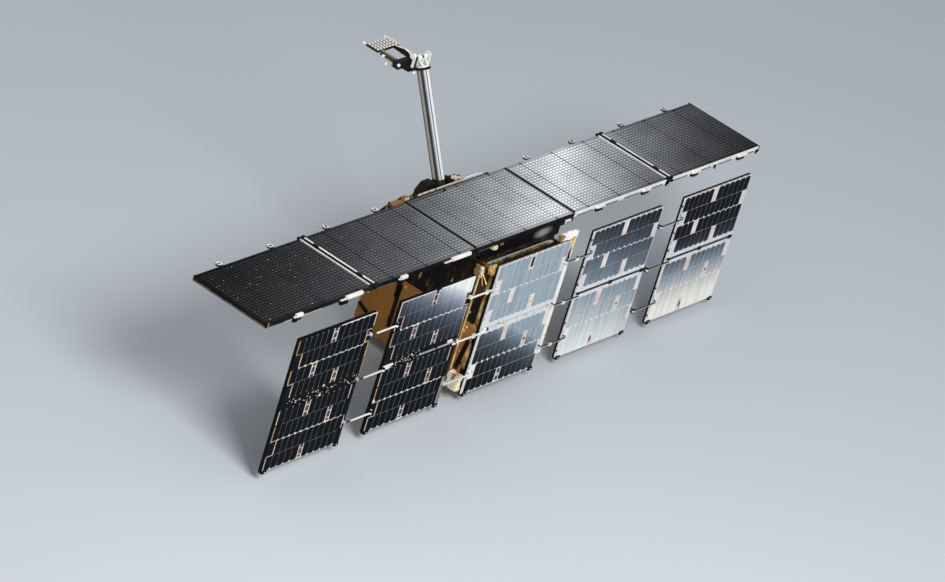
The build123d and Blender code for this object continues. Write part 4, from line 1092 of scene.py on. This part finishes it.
class SATELLITE_OT_antenna_edges(bpy.types.Operator):
    """Add the strips, latches, hooks and small fittings along the antenna's edges and seams"""

    bl_idname = "satellite.antenna_edges"
    bl_label = "Antenna edges"

    def execute(self, context):
        for number in PANELS:
            parts = self.front_strips(number) + self.hooks(number) + self.clamp_feet(number)
            parts += self.end_strips(number)
            place_on(join_pieces("antenna_edges_%d" % number, parts), antenna_body(number))
        self.inner_seams()
        self.outer_seams()
        self.front_fittings()
        return {"FINISHED"}

    def strip(self, low, high, finish):
        """One thin strip with softened edges."""
        size = min(abs(high[i] - low[i]) for i in range(3))
        return box_piece("strip", low, high, finish, size * 0.25)

    def front_corners(self, number, start, end, out, bottom, top, inner=0.0):
        """Corners of a box at the front edge, in millimetres from left end, edge and underside."""
        left = antenna_left(number)
        low = (left + start / 1000, ANTENNA_FRONT - out / 1000, ANTENNA_UNDER + bottom / 1000)
        return low, (left + end / 1000, ANTENNA_FRONT - inner / 1000, ANTENNA_UNDER + top / 1000)

    def front_strips(self, number):
        """Long strips on the front edge, and dashes low on the right wing's."""
        rows = [row[1:] for row in FRONT_STRIPS if number in row[0]]
        if number > 3:
            panel = ANTENNA_LENGTH * 1000
            rows += [(start * panel, end * panel, 1.4, 1.2, 5.0, "black") for start, end in DASHES]
        return [self.strip(*self.front_corners(number, *place), finish) for *place, finish in rows]

    def end_strips(self, number):
        """Strips on the array's two ends and along the back edge."""
        left = antenna_left(number)
        right = left + ANTENNA_LENGTH
        parts = []
        for panel, thick, bottom, top, finish in END_STRIPS:
            if panel == number:
                inner, outer = (left, left - thick / 1000) if number == 1 else (right, right + thick / 1000)
                low = (min(inner, outer), ANTENNA_FRONT + 0.006, ANTENNA_UNDER + bottom / 1000)
                high = (max(inner, outer), ANTENNA_BACK - 0.006, ANTENNA_UNDER + top / 1000)
                parts.append(self.strip(low, high, finish))
        low = (left + 0.02, ANTENNA_BACK, ANTENNA_UNDER + 0.006)
        high = (right - 0.02, ANTENNA_BACK + 0.0014, ANTENNA_UNDER + 0.016)
        parts.append(self.strip(low, high, "grey"))
        return parts

    def hooks(self, number):
        """Black blocks under the front edge, each with a gold tip."""
        parts = []
        for panel, share, half in HOOKS:
            if panel == number:
                across = share * ANTENNA_LENGTH * 1000
                ends = self.front_corners(number, across - half, across + half, 6.8, -8.0, 8.5)
                parts.append(box_piece("block", *ends, "black", 0.0012))
                ends = self.front_corners(number, across - half * 0.3, across + half, 9.4, -11.8, -1.0, 1.0)
                parts.append(box_piece("tip", *ends, "gold", 0.0008))
        return parts

    def clamp_feet(self, number):
        """Black feet of the front clamps."""
        parts = []
        for panel, share, start, end in CLAMPS:
            if panel == number:
                across = share * ANTENNA_LENGTH * 1000
                ends = self.front_corners(number, across + start, across + end, 12.5, -10.0, 8.5)
                parts.append(box_piece("clamp_foot", *ends, "black", 0.0020, 2))
        return parts

    def inner_seams(self):
        """Black strips along the two inner seams, with a silver line at their left."""
        for number, sides in ((2, (1,)), (3, (-1, 1)), (4, (-1,))):
            parts = []
            for side in sides:
                edge = antenna_middle(number) + side * ANTENNA_LENGTH / 2
                inner = edge - side * 0.0060
                low = (min(edge, inner), ANTENNA_FRONT + 0.002, ANTENNA_TOP)
                high = (max(edge, inner), ANTENNA_BACK - 0.002, ANTENNA_TOP + 0.0013)
                parts.append(self.strip(low, high, "black"))
                if side == 1:
                    low = (inner - 0.0026, ANTENNA_FRONT + 0.006, ANTENNA_TOP)
                    high = (inner, ANTENNA_BACK - 0.008, ANTENNA_TOP + 0.0020)
                    parts.append(self.strip(low, high, "silver"))
            place_on(join_pieces("seam_strips_%d" % number, parts), antenna_body(number))

    def outer_seams(self):
        """Latch blocks, and drums with silver pins, at the ends of the outer seams."""
        for number, side in ((1, 1), (2, -1), (4, 1), (5, -1)):
            seam = antenna_middle(number) + side * ANTENNA_PITCH / 2
            near = seam - side * 0.004
            far = seam - side * 0.022
            left = min(near, far)
            right = max(near, far)
            axis = (ANTENNA_FRONT - 0.004, ANTENNA_UNDER + 0.009)
            parts = []
            for start, end, bottom, top in (
                (ANTENNA_BACK - 0.008, ANTENNA_BACK + 0.006, ANTENNA_TOP, ANTENNA_TOP + 0.0068),
                (ANTENNA_FRONT - 0.003, ANTENNA_FRONT + 0.008, ANTENNA_TOP - 0.0075, ANTENNA_TOP + 0.0064),
            ):
                low, high = (left, start, bottom), (right, end, top)
                parts.append(box_piece("latch", low, high, "black", 0.0018, 2))
            parts.append(rod_piece("drum", (near, *axis), (far, *axis), 0.0046, "black", 20, 0.001))
            parts.append(rod_piece("pin", (near, *axis), (far, *axis), 0.0022, "silver", 12))
            place_on(join_pieces("seam_latches_%d" % number, parts), antenna_body(number))

    def front_fittings(self):
        """Small blocks and tucks of foil under the front edge of the middle panel."""
        edge = Vector((0.0, ANTENNA_FRONT, ANTENNA_UNDER))
        parts = []
        for low, high, finish, bevel, steps in FITTINGS:
            fitting = box_piece("fitting", edge + Vector(low), edge + Vector(high), finish, bevel, steps)
            parts.append(fitting)
        for low, high, finish, seed in EDGE_TUCKS:
            tuck = foil_piece("tuck", edge + Vector(low), edge + Vector(high), finish, 3, 0.001, seed)
            parts.append(tuck)
        place_on(join_pieces("front_fittings", parts), "bus")


class SATELLITE_OT_solar_cells(bpy.types.Operator):
    """Lay the rows of cells on the solar panels"""

    bl_idname = "satellite.solar_cells"
    bl_label = "Solar cells"

    def execute(self, context):
        sizes = context.scene.satellite_solar
        rows = [self.cell_row(sizes, row, *block) for row in CELL_ROWS for block in row_blocks(row)]
        sheet = join_pieces("cells", rows)
        for number in PANELS:
            piece = copy_moved(sheet, "solar_cells_%d" % number, X * solar_middle(number))
            coat(piece, cell_finish(number))
            place_on(piece, solar_body(number))
        bpy.data.objects.remove(sheet)
        return {"FINISHED"}

    def cell_row(self, sizes, row, start, end):
        """One block of like cells, side by side, from start to end in millimetres."""
        count = max(1, round((end - start) / 1000 / sizes.cell_width))
        pitch = (end - start) / 1000 / count
        left = -SOLAR_LENGTH / 2 + start / 1000
        low = (left + sizes.cell_gap / 2, SOLAR_FACE - sizes.cell_rise, SOLAR_TOP - row.bottom / 1000)
        high = (left + pitch - sizes.cell_gap / 2, SOLAR_FACE, SOLAR_TOP - row.top / 1000)
        cell = box_piece("cell", low, high)
        level = high[2] if row.round_end == "top" else low[2]

        def is_corner(edge):
            ends = [cell.data.vertices[i].co for i in edge.vertices]
            return abs(ends[0].y - ends[1].y) > sizes.cell_rise / 2 and abs(ends[0].z - level) < 0.0001

        bevel_chosen(cell, "EDGE", is_corner, sizes.cell_corner, 3)
        return repeat(cell, count, X * pitch)


class SATELLITE_OT_solar_ribbons(bpy.types.Operator):
    """Add the ribbons, bus bars and lines between the cells"""

    bl_idname = "satellite.solar_ribbons"
    bl_label = "Solar ribbons"

    def execute(self, context):
        wide = context.scene.satellite_solar.ribbon_width * 1000
        for number in PANELS:
            parts = self.dark_lines(number) if number < 3 else self.pale_lines(number)
            for row in CELL_ROWS:
                if row.slot_right:
                    parts += self.ladder(number, row, wide)
            for row, place, finish in EDGE_BARS:
                half, paint = (1.8, finish) if number < 3 else (1.3, "blush")
                top, bottom = CELL_ROWS[row].top + 3, CELL_ROWS[row].bottom - 3
                parts.append(flat_bar(number, place - half, place + half, top, bottom, paint))
            place_on(join_pieces("solar_ribbons_%d" % number, parts), solar_body(number))
        return {"FINISHED"}

    def bars(self, number, table):
        """The bars of a table that this panel has."""
        return [flat_bar(number, *row) for panels, *row in table if number in panels]

    def level_lines(self, number, levels, left, right, half, finish, rise=1.2):
        """Level lines across a part of the face."""
        return [flat_bar(number, left, right, level - half, level + half, finish, rise) for level in levels]

    def dark_lines(self, number):
        """Backing of the cells, dashes and lines of the two dark panels."""
        dash, faint = ("dash_1", "faint_1") if number == 1 else ("white", "lines_2")
        parts = []
        for row in CELL_ROWS:
            for start, end in row_blocks(row):
                parts.append(flat_bar(number, start, end, row.top, row.bottom, "lines_%d" % number, 0.3))
        parts += self.level_lines(number, ROUND_LEVELS, 46, 434, 4, dash, 0.6)
        parts += self.level_lines(number, PLAIN_LEVELS, 46, 434, 1.4, faint, 0.7)
        parts += self.bars(number, DARK_BARS)
        parts += self.level_lines(number, SHORT_LEVELS, 437, 463, 1.4, "cream")
        return parts

    def pale_lines(self, number):
        """Grey backing, light lines and warm marks on the pale boards of the other panels."""
        parts = self.level_lines(number, ROUND_LEVELS, 10, 462, 0.8, "white", 0.8)
        parts += self.bars(number, PALE_BARS)
        parts += self.level_lines(number, SHORT_LEVELS, 437, 463, 1.2, "blush")
        for row in CELL_ROWS[:4] if number > 3 else CELL_ROWS[4:]:
            top = row.top + 9 if row.round_end == "top" else row.top
            bottom = row.bottom - 9 if row.round_end == "bottom" else row.bottom
            for start, end in row_blocks(row):
                parts.append(flat_bar(number, start, end, top, bottom, "grey", 0.3))
        parts += self.level_lines(number, (80, 118, 214, 244, 470, 514), 0.4, 3.4, 6, "copper")
        return parts

    def ladder(self, number, row, wide):
        """Two upright ribbons in a row's slot, two short ones between them and the slot's floor."""
        finish = "cream" if number < 3 else "blush"
        left, right = row.slot_left, row.slot_right
        top, bottom = row.top + 1, row.bottom - 1
        bars = [
            flat_bar(number, left + 1.5, left + 1.5 + wide, top, bottom, finish, 1.3),
            flat_bar(number, right - 1.5 - wide, right - 1.5, top, bottom, finish, 1.3),
        ]
        levels = [row.top + share * (row.bottom - row.top) for share in (0.28, 0.74)]
        bars += self.level_lines(number, levels, left + 2, right - 2, wide * 0.4, finish)
        if number < 3:
            bars.append(flat_bar(number, left + 7, right - 7, row.top + 4, row.bottom - 4, "navy", 0.6))
        else:
            bars.append(flat_bar(number, left, right, row.top, row.bottom, "blush", 0.5))
        return bars


class SATELLITE_OT_solar_trims(bpy.types.Operator):
    """Add what lies in the middle bands: discs, beads, tubes and clamps, and the marks in the slots"""

    bl_idname = "satellite.solar_trims"
    bl_label = "Solar trims"

    def execute(self, context):
        makers = {1: self.first, 2: self.second, 3: self.third, 4: self.outer, 5: self.outer}
        for number in PANELS:
            parts = makers[number](number) + self.feet(number) + self.screws(number)
            place_on(join_pieces("solar_trims_%d" % number, parts), solar_body(number))
        return {"FINISHED"}

    def disc(self, number, across, down, radius, finish, rise=1.6):
        """A flat round cap on the face."""
        foot = on_solar(number, across, down, -0.5)
        top = on_solar(number, across, down, rise)
        return rod_piece("disc", foot, top, radius / 1000, finish, 20, 0.0004)

    def block(self, number, left, right, top, bottom, finish, rise, inner=0.0):
        """A block on the face, in millimetres."""
        low = on_solar(number, left, bottom, rise)
        return box_piece("block", low, on_solar(number, right, top, inner), finish, 0.0010, 2)

    def bead(self, number, across, down, radius, finish, out):
        """A round bead on the face."""
        size = (radius * 0.002,) * 3
        return blob_piece("bead", on_solar(number, across, down, out), size, finish, 2)

    def scatter(self, number, seed, count, across, down, finishes):
        """Small lumps strewn over a part of the band."""
        draw = random.Random(seed)
        parts = []
        for _ in range(count):
            spot = on_solar(number, draw.uniform(*across), draw.uniform(*down), 1.0)
            size = (draw.uniform(0.0030, 0.0085), 0.0034, draw.uniform(0.0025, 0.0060))
            parts.append(blob_piece("lump", spot, size, draw.choice(finishes)))
        return parts

    def feet(self, number):
        """Two feet under a panel, each with a bolt."""
        parts = []
        for side in (-1, 1):
            x = solar_middle(number) + side * 0.217
            low = (x - 0.013, SOLAR_FACE - 0.0062, SOLAR_BOTTOM - 0.0085)
            high = (x + 0.013, SOLAR_BACK + 0.0022, SOLAR_BOTTOM + 0.0080)
            parts.append(box_piece("foot", low, high, "black", 0.0028, 2))
            head = (x, SOLAR_FACE - 0.0074, SOLAR_BOTTOM)
            end = (x, SOLAR_FACE, SOLAR_BOTTOM)
            parts.append(rod_piece("foot_bolt", head, end, 0.0028, "white", 12, 0.0004))
        return parts

    def screws(self, number):
        """Screw heads on a panel's back."""
        parts = []
        for level in (0.12, 0.5, 0.88):
            for share in (0.08, 0.5, 0.92):
                x = solar_middle(number) + (share - 0.5) * SOLAR_LENGTH
                z = SOLAR_BOTTOM + level * (SOLAR_TOP - SOLAR_BOTTOM)
                start = (x, SOLAR_BACK - 0.001, z)
                end = (x, SOLAR_BACK + 0.0014, z)
                parts.append(rod_piece("screw", start, end, 0.0034, "steel", 12, 0.0004))
        return parts

    def first(self, number):
        """Band of the left outer panel: bright discs among small lumps."""
        parts = self.scatter(number, 11, 46, (30, 452), (279, 312), ("cream", "cream", "white", "amber"))
        for across, down in ((90, 298), (240, 311), (248, 271)):
            parts.append(self.disc(number, across, down, 5.5, "white"))
        for across in (66, 158, 302, 398):
            parts.append(self.disc(number, across, BAND, 2.6, "cream"))
        return parts

    def second(self, number):
        """Band of the left inner panel: white bars, lumps and a silver tube."""
        parts = self.scatter(number, 12, 50, (50, 232), (277, 312), ("cream", "white", "cream", "grey"))
        parts += [
            self.block(number, -1, 60, 288, 296, "white", 5.0),
            self.block(number, 5, 45, 300, 308, "white", 4.0),
            self.block(number, 400, 430, 281, 291, "white", 5.0),
            self.block(number, 440, 465, 303, 313, "white", 5.0),
        ]
        for level in (98, 449, 493):
            parts.append(self.block(number, 0.5, 12, level - 6, level + 6, "white", 4.0))
        tube = BAND + 3
        for across in (216, 330, 452):
            parts.append(self.block(number, across - 5, across + 5, tube - 6, tube + 6, "black", 6.6))
        start, end = on_solar(number, 210, tube, 2.0), on_solar(number, 463, tube, 2.0)
        parts.append(rod_piece("band_tube", start, end, 0.0040, "silver", 16, 0.0006))
        return parts

    def third(self, number):
        """Marks of the middle panel: slot, dots and the fittings of its rods."""
        parts = [
            self.block(number, 216, 232, 14, 60, "black", 1.6),
            self.disc(number, 298, 238, 6.5, "amber"),
            self.disc(number, 337, 423, 6.5, "rust"),
            self.block(number, -4, 34, 291, 301, "white", 6.0),
            self.bead(number, 38, 296, 7, "black", 4.0),
            self.block(number, 2, 16, 486, 506, "white", 5.0),
            self.block(number, 16, 30, 492, 500, "grey", 4.0),
        ]
        for top in (531, 566):
            parts.append(self.block(number, 212, 230, top, top + 19, "navy", 1.2))
        for level in (95, 297, 493):
            parts.append(self.bead(number, 462, level, 6, "black", 3.0))
        for across in (70, 120, 170, 232, 290, 345, 400, 440):
            parts.append(self.disc(number, across, BAND + across % 3 * 3, 3.0, "rust"))
        parts += self.scatter(number, 13, 16, (50, 440), (278, 312), ("grey", "black", "rust"))
        return parts

    def outer(self, number):
        """Band of a right wing panel: a dark tube in black clamps between white lines, and the holes."""
        radius = bpy.context.scene.satellite_solar.tube_radius
        start, end = on_solar(number, 4, BAND, 1.0), on_solar(number, 463, BAND, 1.0)
        parts = [rod_piece("band_tube", start, end, radius, "navy", 20, 0.0006)]
        half = radius * 1000 + 2.5
        for share in (0.025, 0.5, 0.955):
            across = share * SOLAR_LENGTH * 1000
            parts.append(self.block(number, across - 9, across + 9, BAND - half, BAND + half, "black", 6.6))
        for level in (281, 307):
            parts.append(flat_bar(number, 6, 462, level - 1.6, level + 1.6, "white", 1.4))
        for across in (36, 118, 196, 262, 344, 426):
            parts += [self.disc(number, across, level, 2.4, "grey", 1.2) for level in (275, 313)]
        parts.append(self.disc(number, 337, 423, 8.5, "blush", 1.3))
        parts.append(self.disc(number, 337, 423, 6.6, "rust", 1.8))
        parts.append(self.long_hole(number, 221, 560))
        for level in (40, 166, 250, 430, 560):
            parts.append(self.block(number, -0.8, 3.0, level - 5, level + 5, "copper", 1.4, -6.0))
        return parts

    def long_hole(self, number, across, down):
        """A dark oval mark, taller than it is wide."""
        start, end = on_solar(number, across, down, -0.5), on_solar(number, across, down, 1.8)
        hole = rod_piece("hole", start, end, 0.006, "rust", 24, 0.0004)
        centre = on_solar(number, across, down)
        taller = Matrix.Diagonal((1.0, 1.0, 2.6, 1.0))
        hole.data.transform(Matrix.Translation(centre) @ taller @ Matrix.Translation(-centre))
        return hole


class SATELLITE_OT_body_foil(bpy.types.Operator):
    """Wrap the body in crumpled gold foil and tuck loose foil round its corners"""

    bl_idname = "satellite.body_foil"
    bl_label = "Body foil"

    def execute(self, context):
        inset = context.scene.satellite_body.crumple
        low = BODY_LOW + Vector((inset, inset, inset * 0.5))
        high = BODY_HIGH - Vector((inset, inset, inset))
        skin = foil_piece("body_foil", low, high, "foil", 21, inset, 7)
        place_on(skin, "bus")
        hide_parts("bus_core")
        tucks = [foil_piece("tuck", *row) for row in FOIL_TUCKS]
        place_on(join_pieces("foil_tucks", tucks), "bus")
        return {"FINISHED"}


class SATELLITE_OT_body_trims(bpy.types.Operator):
    """Add bolts, screws, buttons, straps and small fittings to the body and the deck"""

    bl_idname = "satellite.body_trims"
    bl_label = "Body trims"

    def execute(self, context):
        parts = self.ring_bolts() + self.radiator_screws() + self.side_buttons() + self.deck_lumps()
        parts += self.straps() + self.deck_bolts()
        place_on(join_pieces("body_trims", parts), "bus")
        return {"FINISHED"}

    def ring_bolts(self):
        """Bolt heads on the separation ring."""
        count, radius = 12, 0.142
        parts = []
        for step in range(count):
            turn = 2 * math.pi * (step + 0.5) / count
            x, y = radius * math.cos(turn), radius * math.sin(turn)
            parts.append(rod_piece("ring_bolt", (x, y, 0.0495), (x, y, 0.0535), 0.0050, "steel", 6, 0.0006))
        return parts

    def radiator_screws(self):
        """Screws of the radiator plate on the back."""
        inner, outer = RADIATOR_FACE - 0.0005, RADIATOR_FACE + 0.0016
        parts = []
        for x in (-0.138, -0.046, 0.046, 0.138):
            for z in (0.142, 0.265, 0.388):
                start, end = (x, inner, z), (x, outer, z)
                parts.append(rod_piece("screw", start, end, 0.0036, "steel", 12, 0.0004))
        return parts

    def side_buttons(self):
        """Gold buttons that hold the film to the lower sides."""
        parts = []
        for side in (-1, 1):
            inner, outer = side * (BODY_SIDE - 0.0016), side * (BODY_SIDE + 0.0020)
            for y in (-0.24, -0.08, 0.08, 0.24):
                for z in (0.080, 0.215, 0.325):
                    button = rod_piece("button", (inner, y, z), (outer, y, z), 0.0060, "gold", 16, 0.0006)
                    parts.append(button)
        return parts

    def deck_lumps(self):
        """Small fittings strewn over the deck under the antenna."""
        draw = random.Random(31)
        parts = []
        for _ in range(26):
            spot = (draw.uniform(-0.19, 0.20), draw.uniform(-0.19, 0.18), BODY_TOP + 0.0025)
            size = (draw.uniform(0.006, 0.018), draw.uniform(0.006, 0.016), 0.006)
            finish = draw.choice(("dark", "steel", "gold", "black"))
            parts.append(blob_piece("deck_lump", spot, size, finish))
        return parts

    def straps(self):
        """Two upright straps and a short slanted one on the left side."""
        x = -BODY_SIDE - 0.0042
        parts = []
        for y, bottom, top, half in ((0.110, 0.262, 0.352, 0.010), (0.104, 0.128, 0.266, 0.0085)):
            low, high = (x, y - half, bottom), (x + 0.005, y + half, top)
            parts.append(box_piece("strap", low, high, "black", 0.0016, 2))
        start, end = (x + 0.003, 0.268, 0.153), (x + 0.003, 0.219, 0.131)
        parts.append(rod_piece("strap", start, end, 0.0078, "black", 16, 0.002))
        return parts

    def deck_bolts(self):
        """Bolt heads along the deck's front edge."""
        front = -0.245
        parts = []
        for x in (-0.215, -0.125, 0.120, 0.215):
            start, end = (x, front, BODY_TOP + 0.0015), (x, front, BODY_TOP + 0.0065)
            parts.append(rod_piece("deck_bolt", start, end, 0.0045, "steel", 6, 0.0005))
        return parts


class SATELLITE_OT_stage(bpy.types.Operator):
    """Add the plain floor, the lights and the camera"""

    bl_idname = "satellite.stage"
    bl_label = "Stage"

    def execute(self, context):
        sizes = context.scene.satellite_studio
        self.floor(tuple(sizes.floor_colour))
        self.sky(context.scene, sizes.sky)
        self.lamp(context.scene, "key", (-3.45, -5.35, 5.9), (0.0, 0.0, 0.4), 3.2, sizes.key)
        self.camera(context.scene)
        context.scene.view_settings.view_transform = "Standard"
        return {"FINISHED"}

    def floor(self, colour):
        """A wide plain floor."""
        clear_selection()
        bpy.ops.mesh.primitive_plane_add(size=60.0, location=(0.0, 0.0, 0.0))
        floor = settle("floor")
        darker = tuple(0.97 * part for part in colour)
        coat(floor, worn("floor_paint", colour, darker, 0.85, scale=0.6, bump=0.0, specular=0.05))

    def sky(self, scene, strength):
        """Even light from all round."""
        world = bpy.data.worlds.new("studio")
        world.use_nodes = True
        back = world.node_tree.nodes["Background"]
        back.inputs["Color"].default_value = (0.95, 0.97, 1.0, 1.0)
        back.inputs["Strength"].default_value = strength
        scene.world = world

    def lamp(self, scene, name, place, target, size, power):
        """A square lamp that looks at a point."""
        data = bpy.data.lights.new(name, "AREA")
        data.shape = "SQUARE"
        data.size = size
        data.energy = power
        lamp = bpy.data.objects.new(name, data)
        scene.collection.objects.link(lamp)
        lamp.location = place
        lamp.rotation_euler = (Vector(target) - Vector(place)).to_track_quat("-Z", "Y").to_euler()

    def camera(self, scene):
        """The photograph's view: from in front, above and to the left, tilted."""
        data = bpy.data.cameras.new("camera")
        data.lens = CAMERA_LENS
        data.sensor_width = 36.0
        data.clip_end = FAR_CLIP
        camera = bpy.data.objects.new("camera", data)
        scene.collection.objects.link(camera)
        camera.location = CAMERA_AIM - CAMERA_WAY * CAMERA_DISTANCE
        camera.rotation_mode = "QUATERNION"
        camera.rotation_quaternion = CAMERA_WAY.to_track_quat("-Z", "Y") @ Quaternion(Z, CAMERA_ROLL)
        scene.camera = camera


class SATELLITE_PT_looks(bpy.types.Panel):
    """Lists the steps in the order in which they run"""

    bl_idname = "SATELLITE_PT_looks"
    bl_label = "Satellite looks"
    bl_space_type = "VIEW_3D"
    bl_region_type = "UI"
    bl_category = "Satellite"

    def draw(self, context):
        for step in STEPS:
            self.layout.operator(step.bl_idname)
        for group in GROUPS:
            settings = getattr(context.scene, group)
            for name in settings.__annotations__:
                self.layout.prop(settings, name)


STEPS = (
    SATELLITE_OT_frame_finishes,
    SATELLITE_OT_antenna_bumps,
    SATELLITE_OT_antenna_edges,
    SATELLITE_OT_solar_cells,
    SATELLITE_OT_solar_ribbons,
    SATELLITE_OT_solar_trims,
    SATELLITE_OT_body_foil,
    SATELLITE_OT_body_trims,
    SATELLITE_OT_stage,
)
GROUPS = {
    "satellite_antenna": AntennaSizes,
    "satellite_solar": SolarSizes,
    "satellite_body": BodySizes,
    "satellite_studio": StudioSizes,
}


def register():
    """Make the settings, steps and panel known to Blender."""
    for name, group in GROUPS.items():
        bpy.utils.register_class(group)
        setattr(bpy.types.Scene, name, bpy.props.PointerProperty(type=group))
    for step in STEPS:
        bpy.utils.register_class(step)
    bpy.utils.register_class(SATELLITE_PT_looks)


def unregister():
    """Take them away again."""
    bpy.utils.unregister_class(SATELLITE_PT_looks)
    for step in reversed(STEPS):
        bpy.utils.unregister_class(step)
    for name, group in GROUPS.items():
        delattr(bpy.types.Scene, name)
        bpy.utils.unregister_class(group)


def main():
    """Run every step in order."""
    register()
    bpy.ops.satellite.frame_finishes()
    bpy.ops.satellite.antenna_bumps()
    bpy.ops.satellite.antenna_edges()
    bpy.ops.satellite.solar_cells()
    bpy.ops.satellite.solar_ribbons()
    bpy.ops.satellite.solar_trims()
    bpy.ops.satellite.body_foil()
    bpy.ops.satellite.body_trims()
    bpy.ops.satellite.stage()
    clear_selection()


if __name__ == "__main__":
    main()
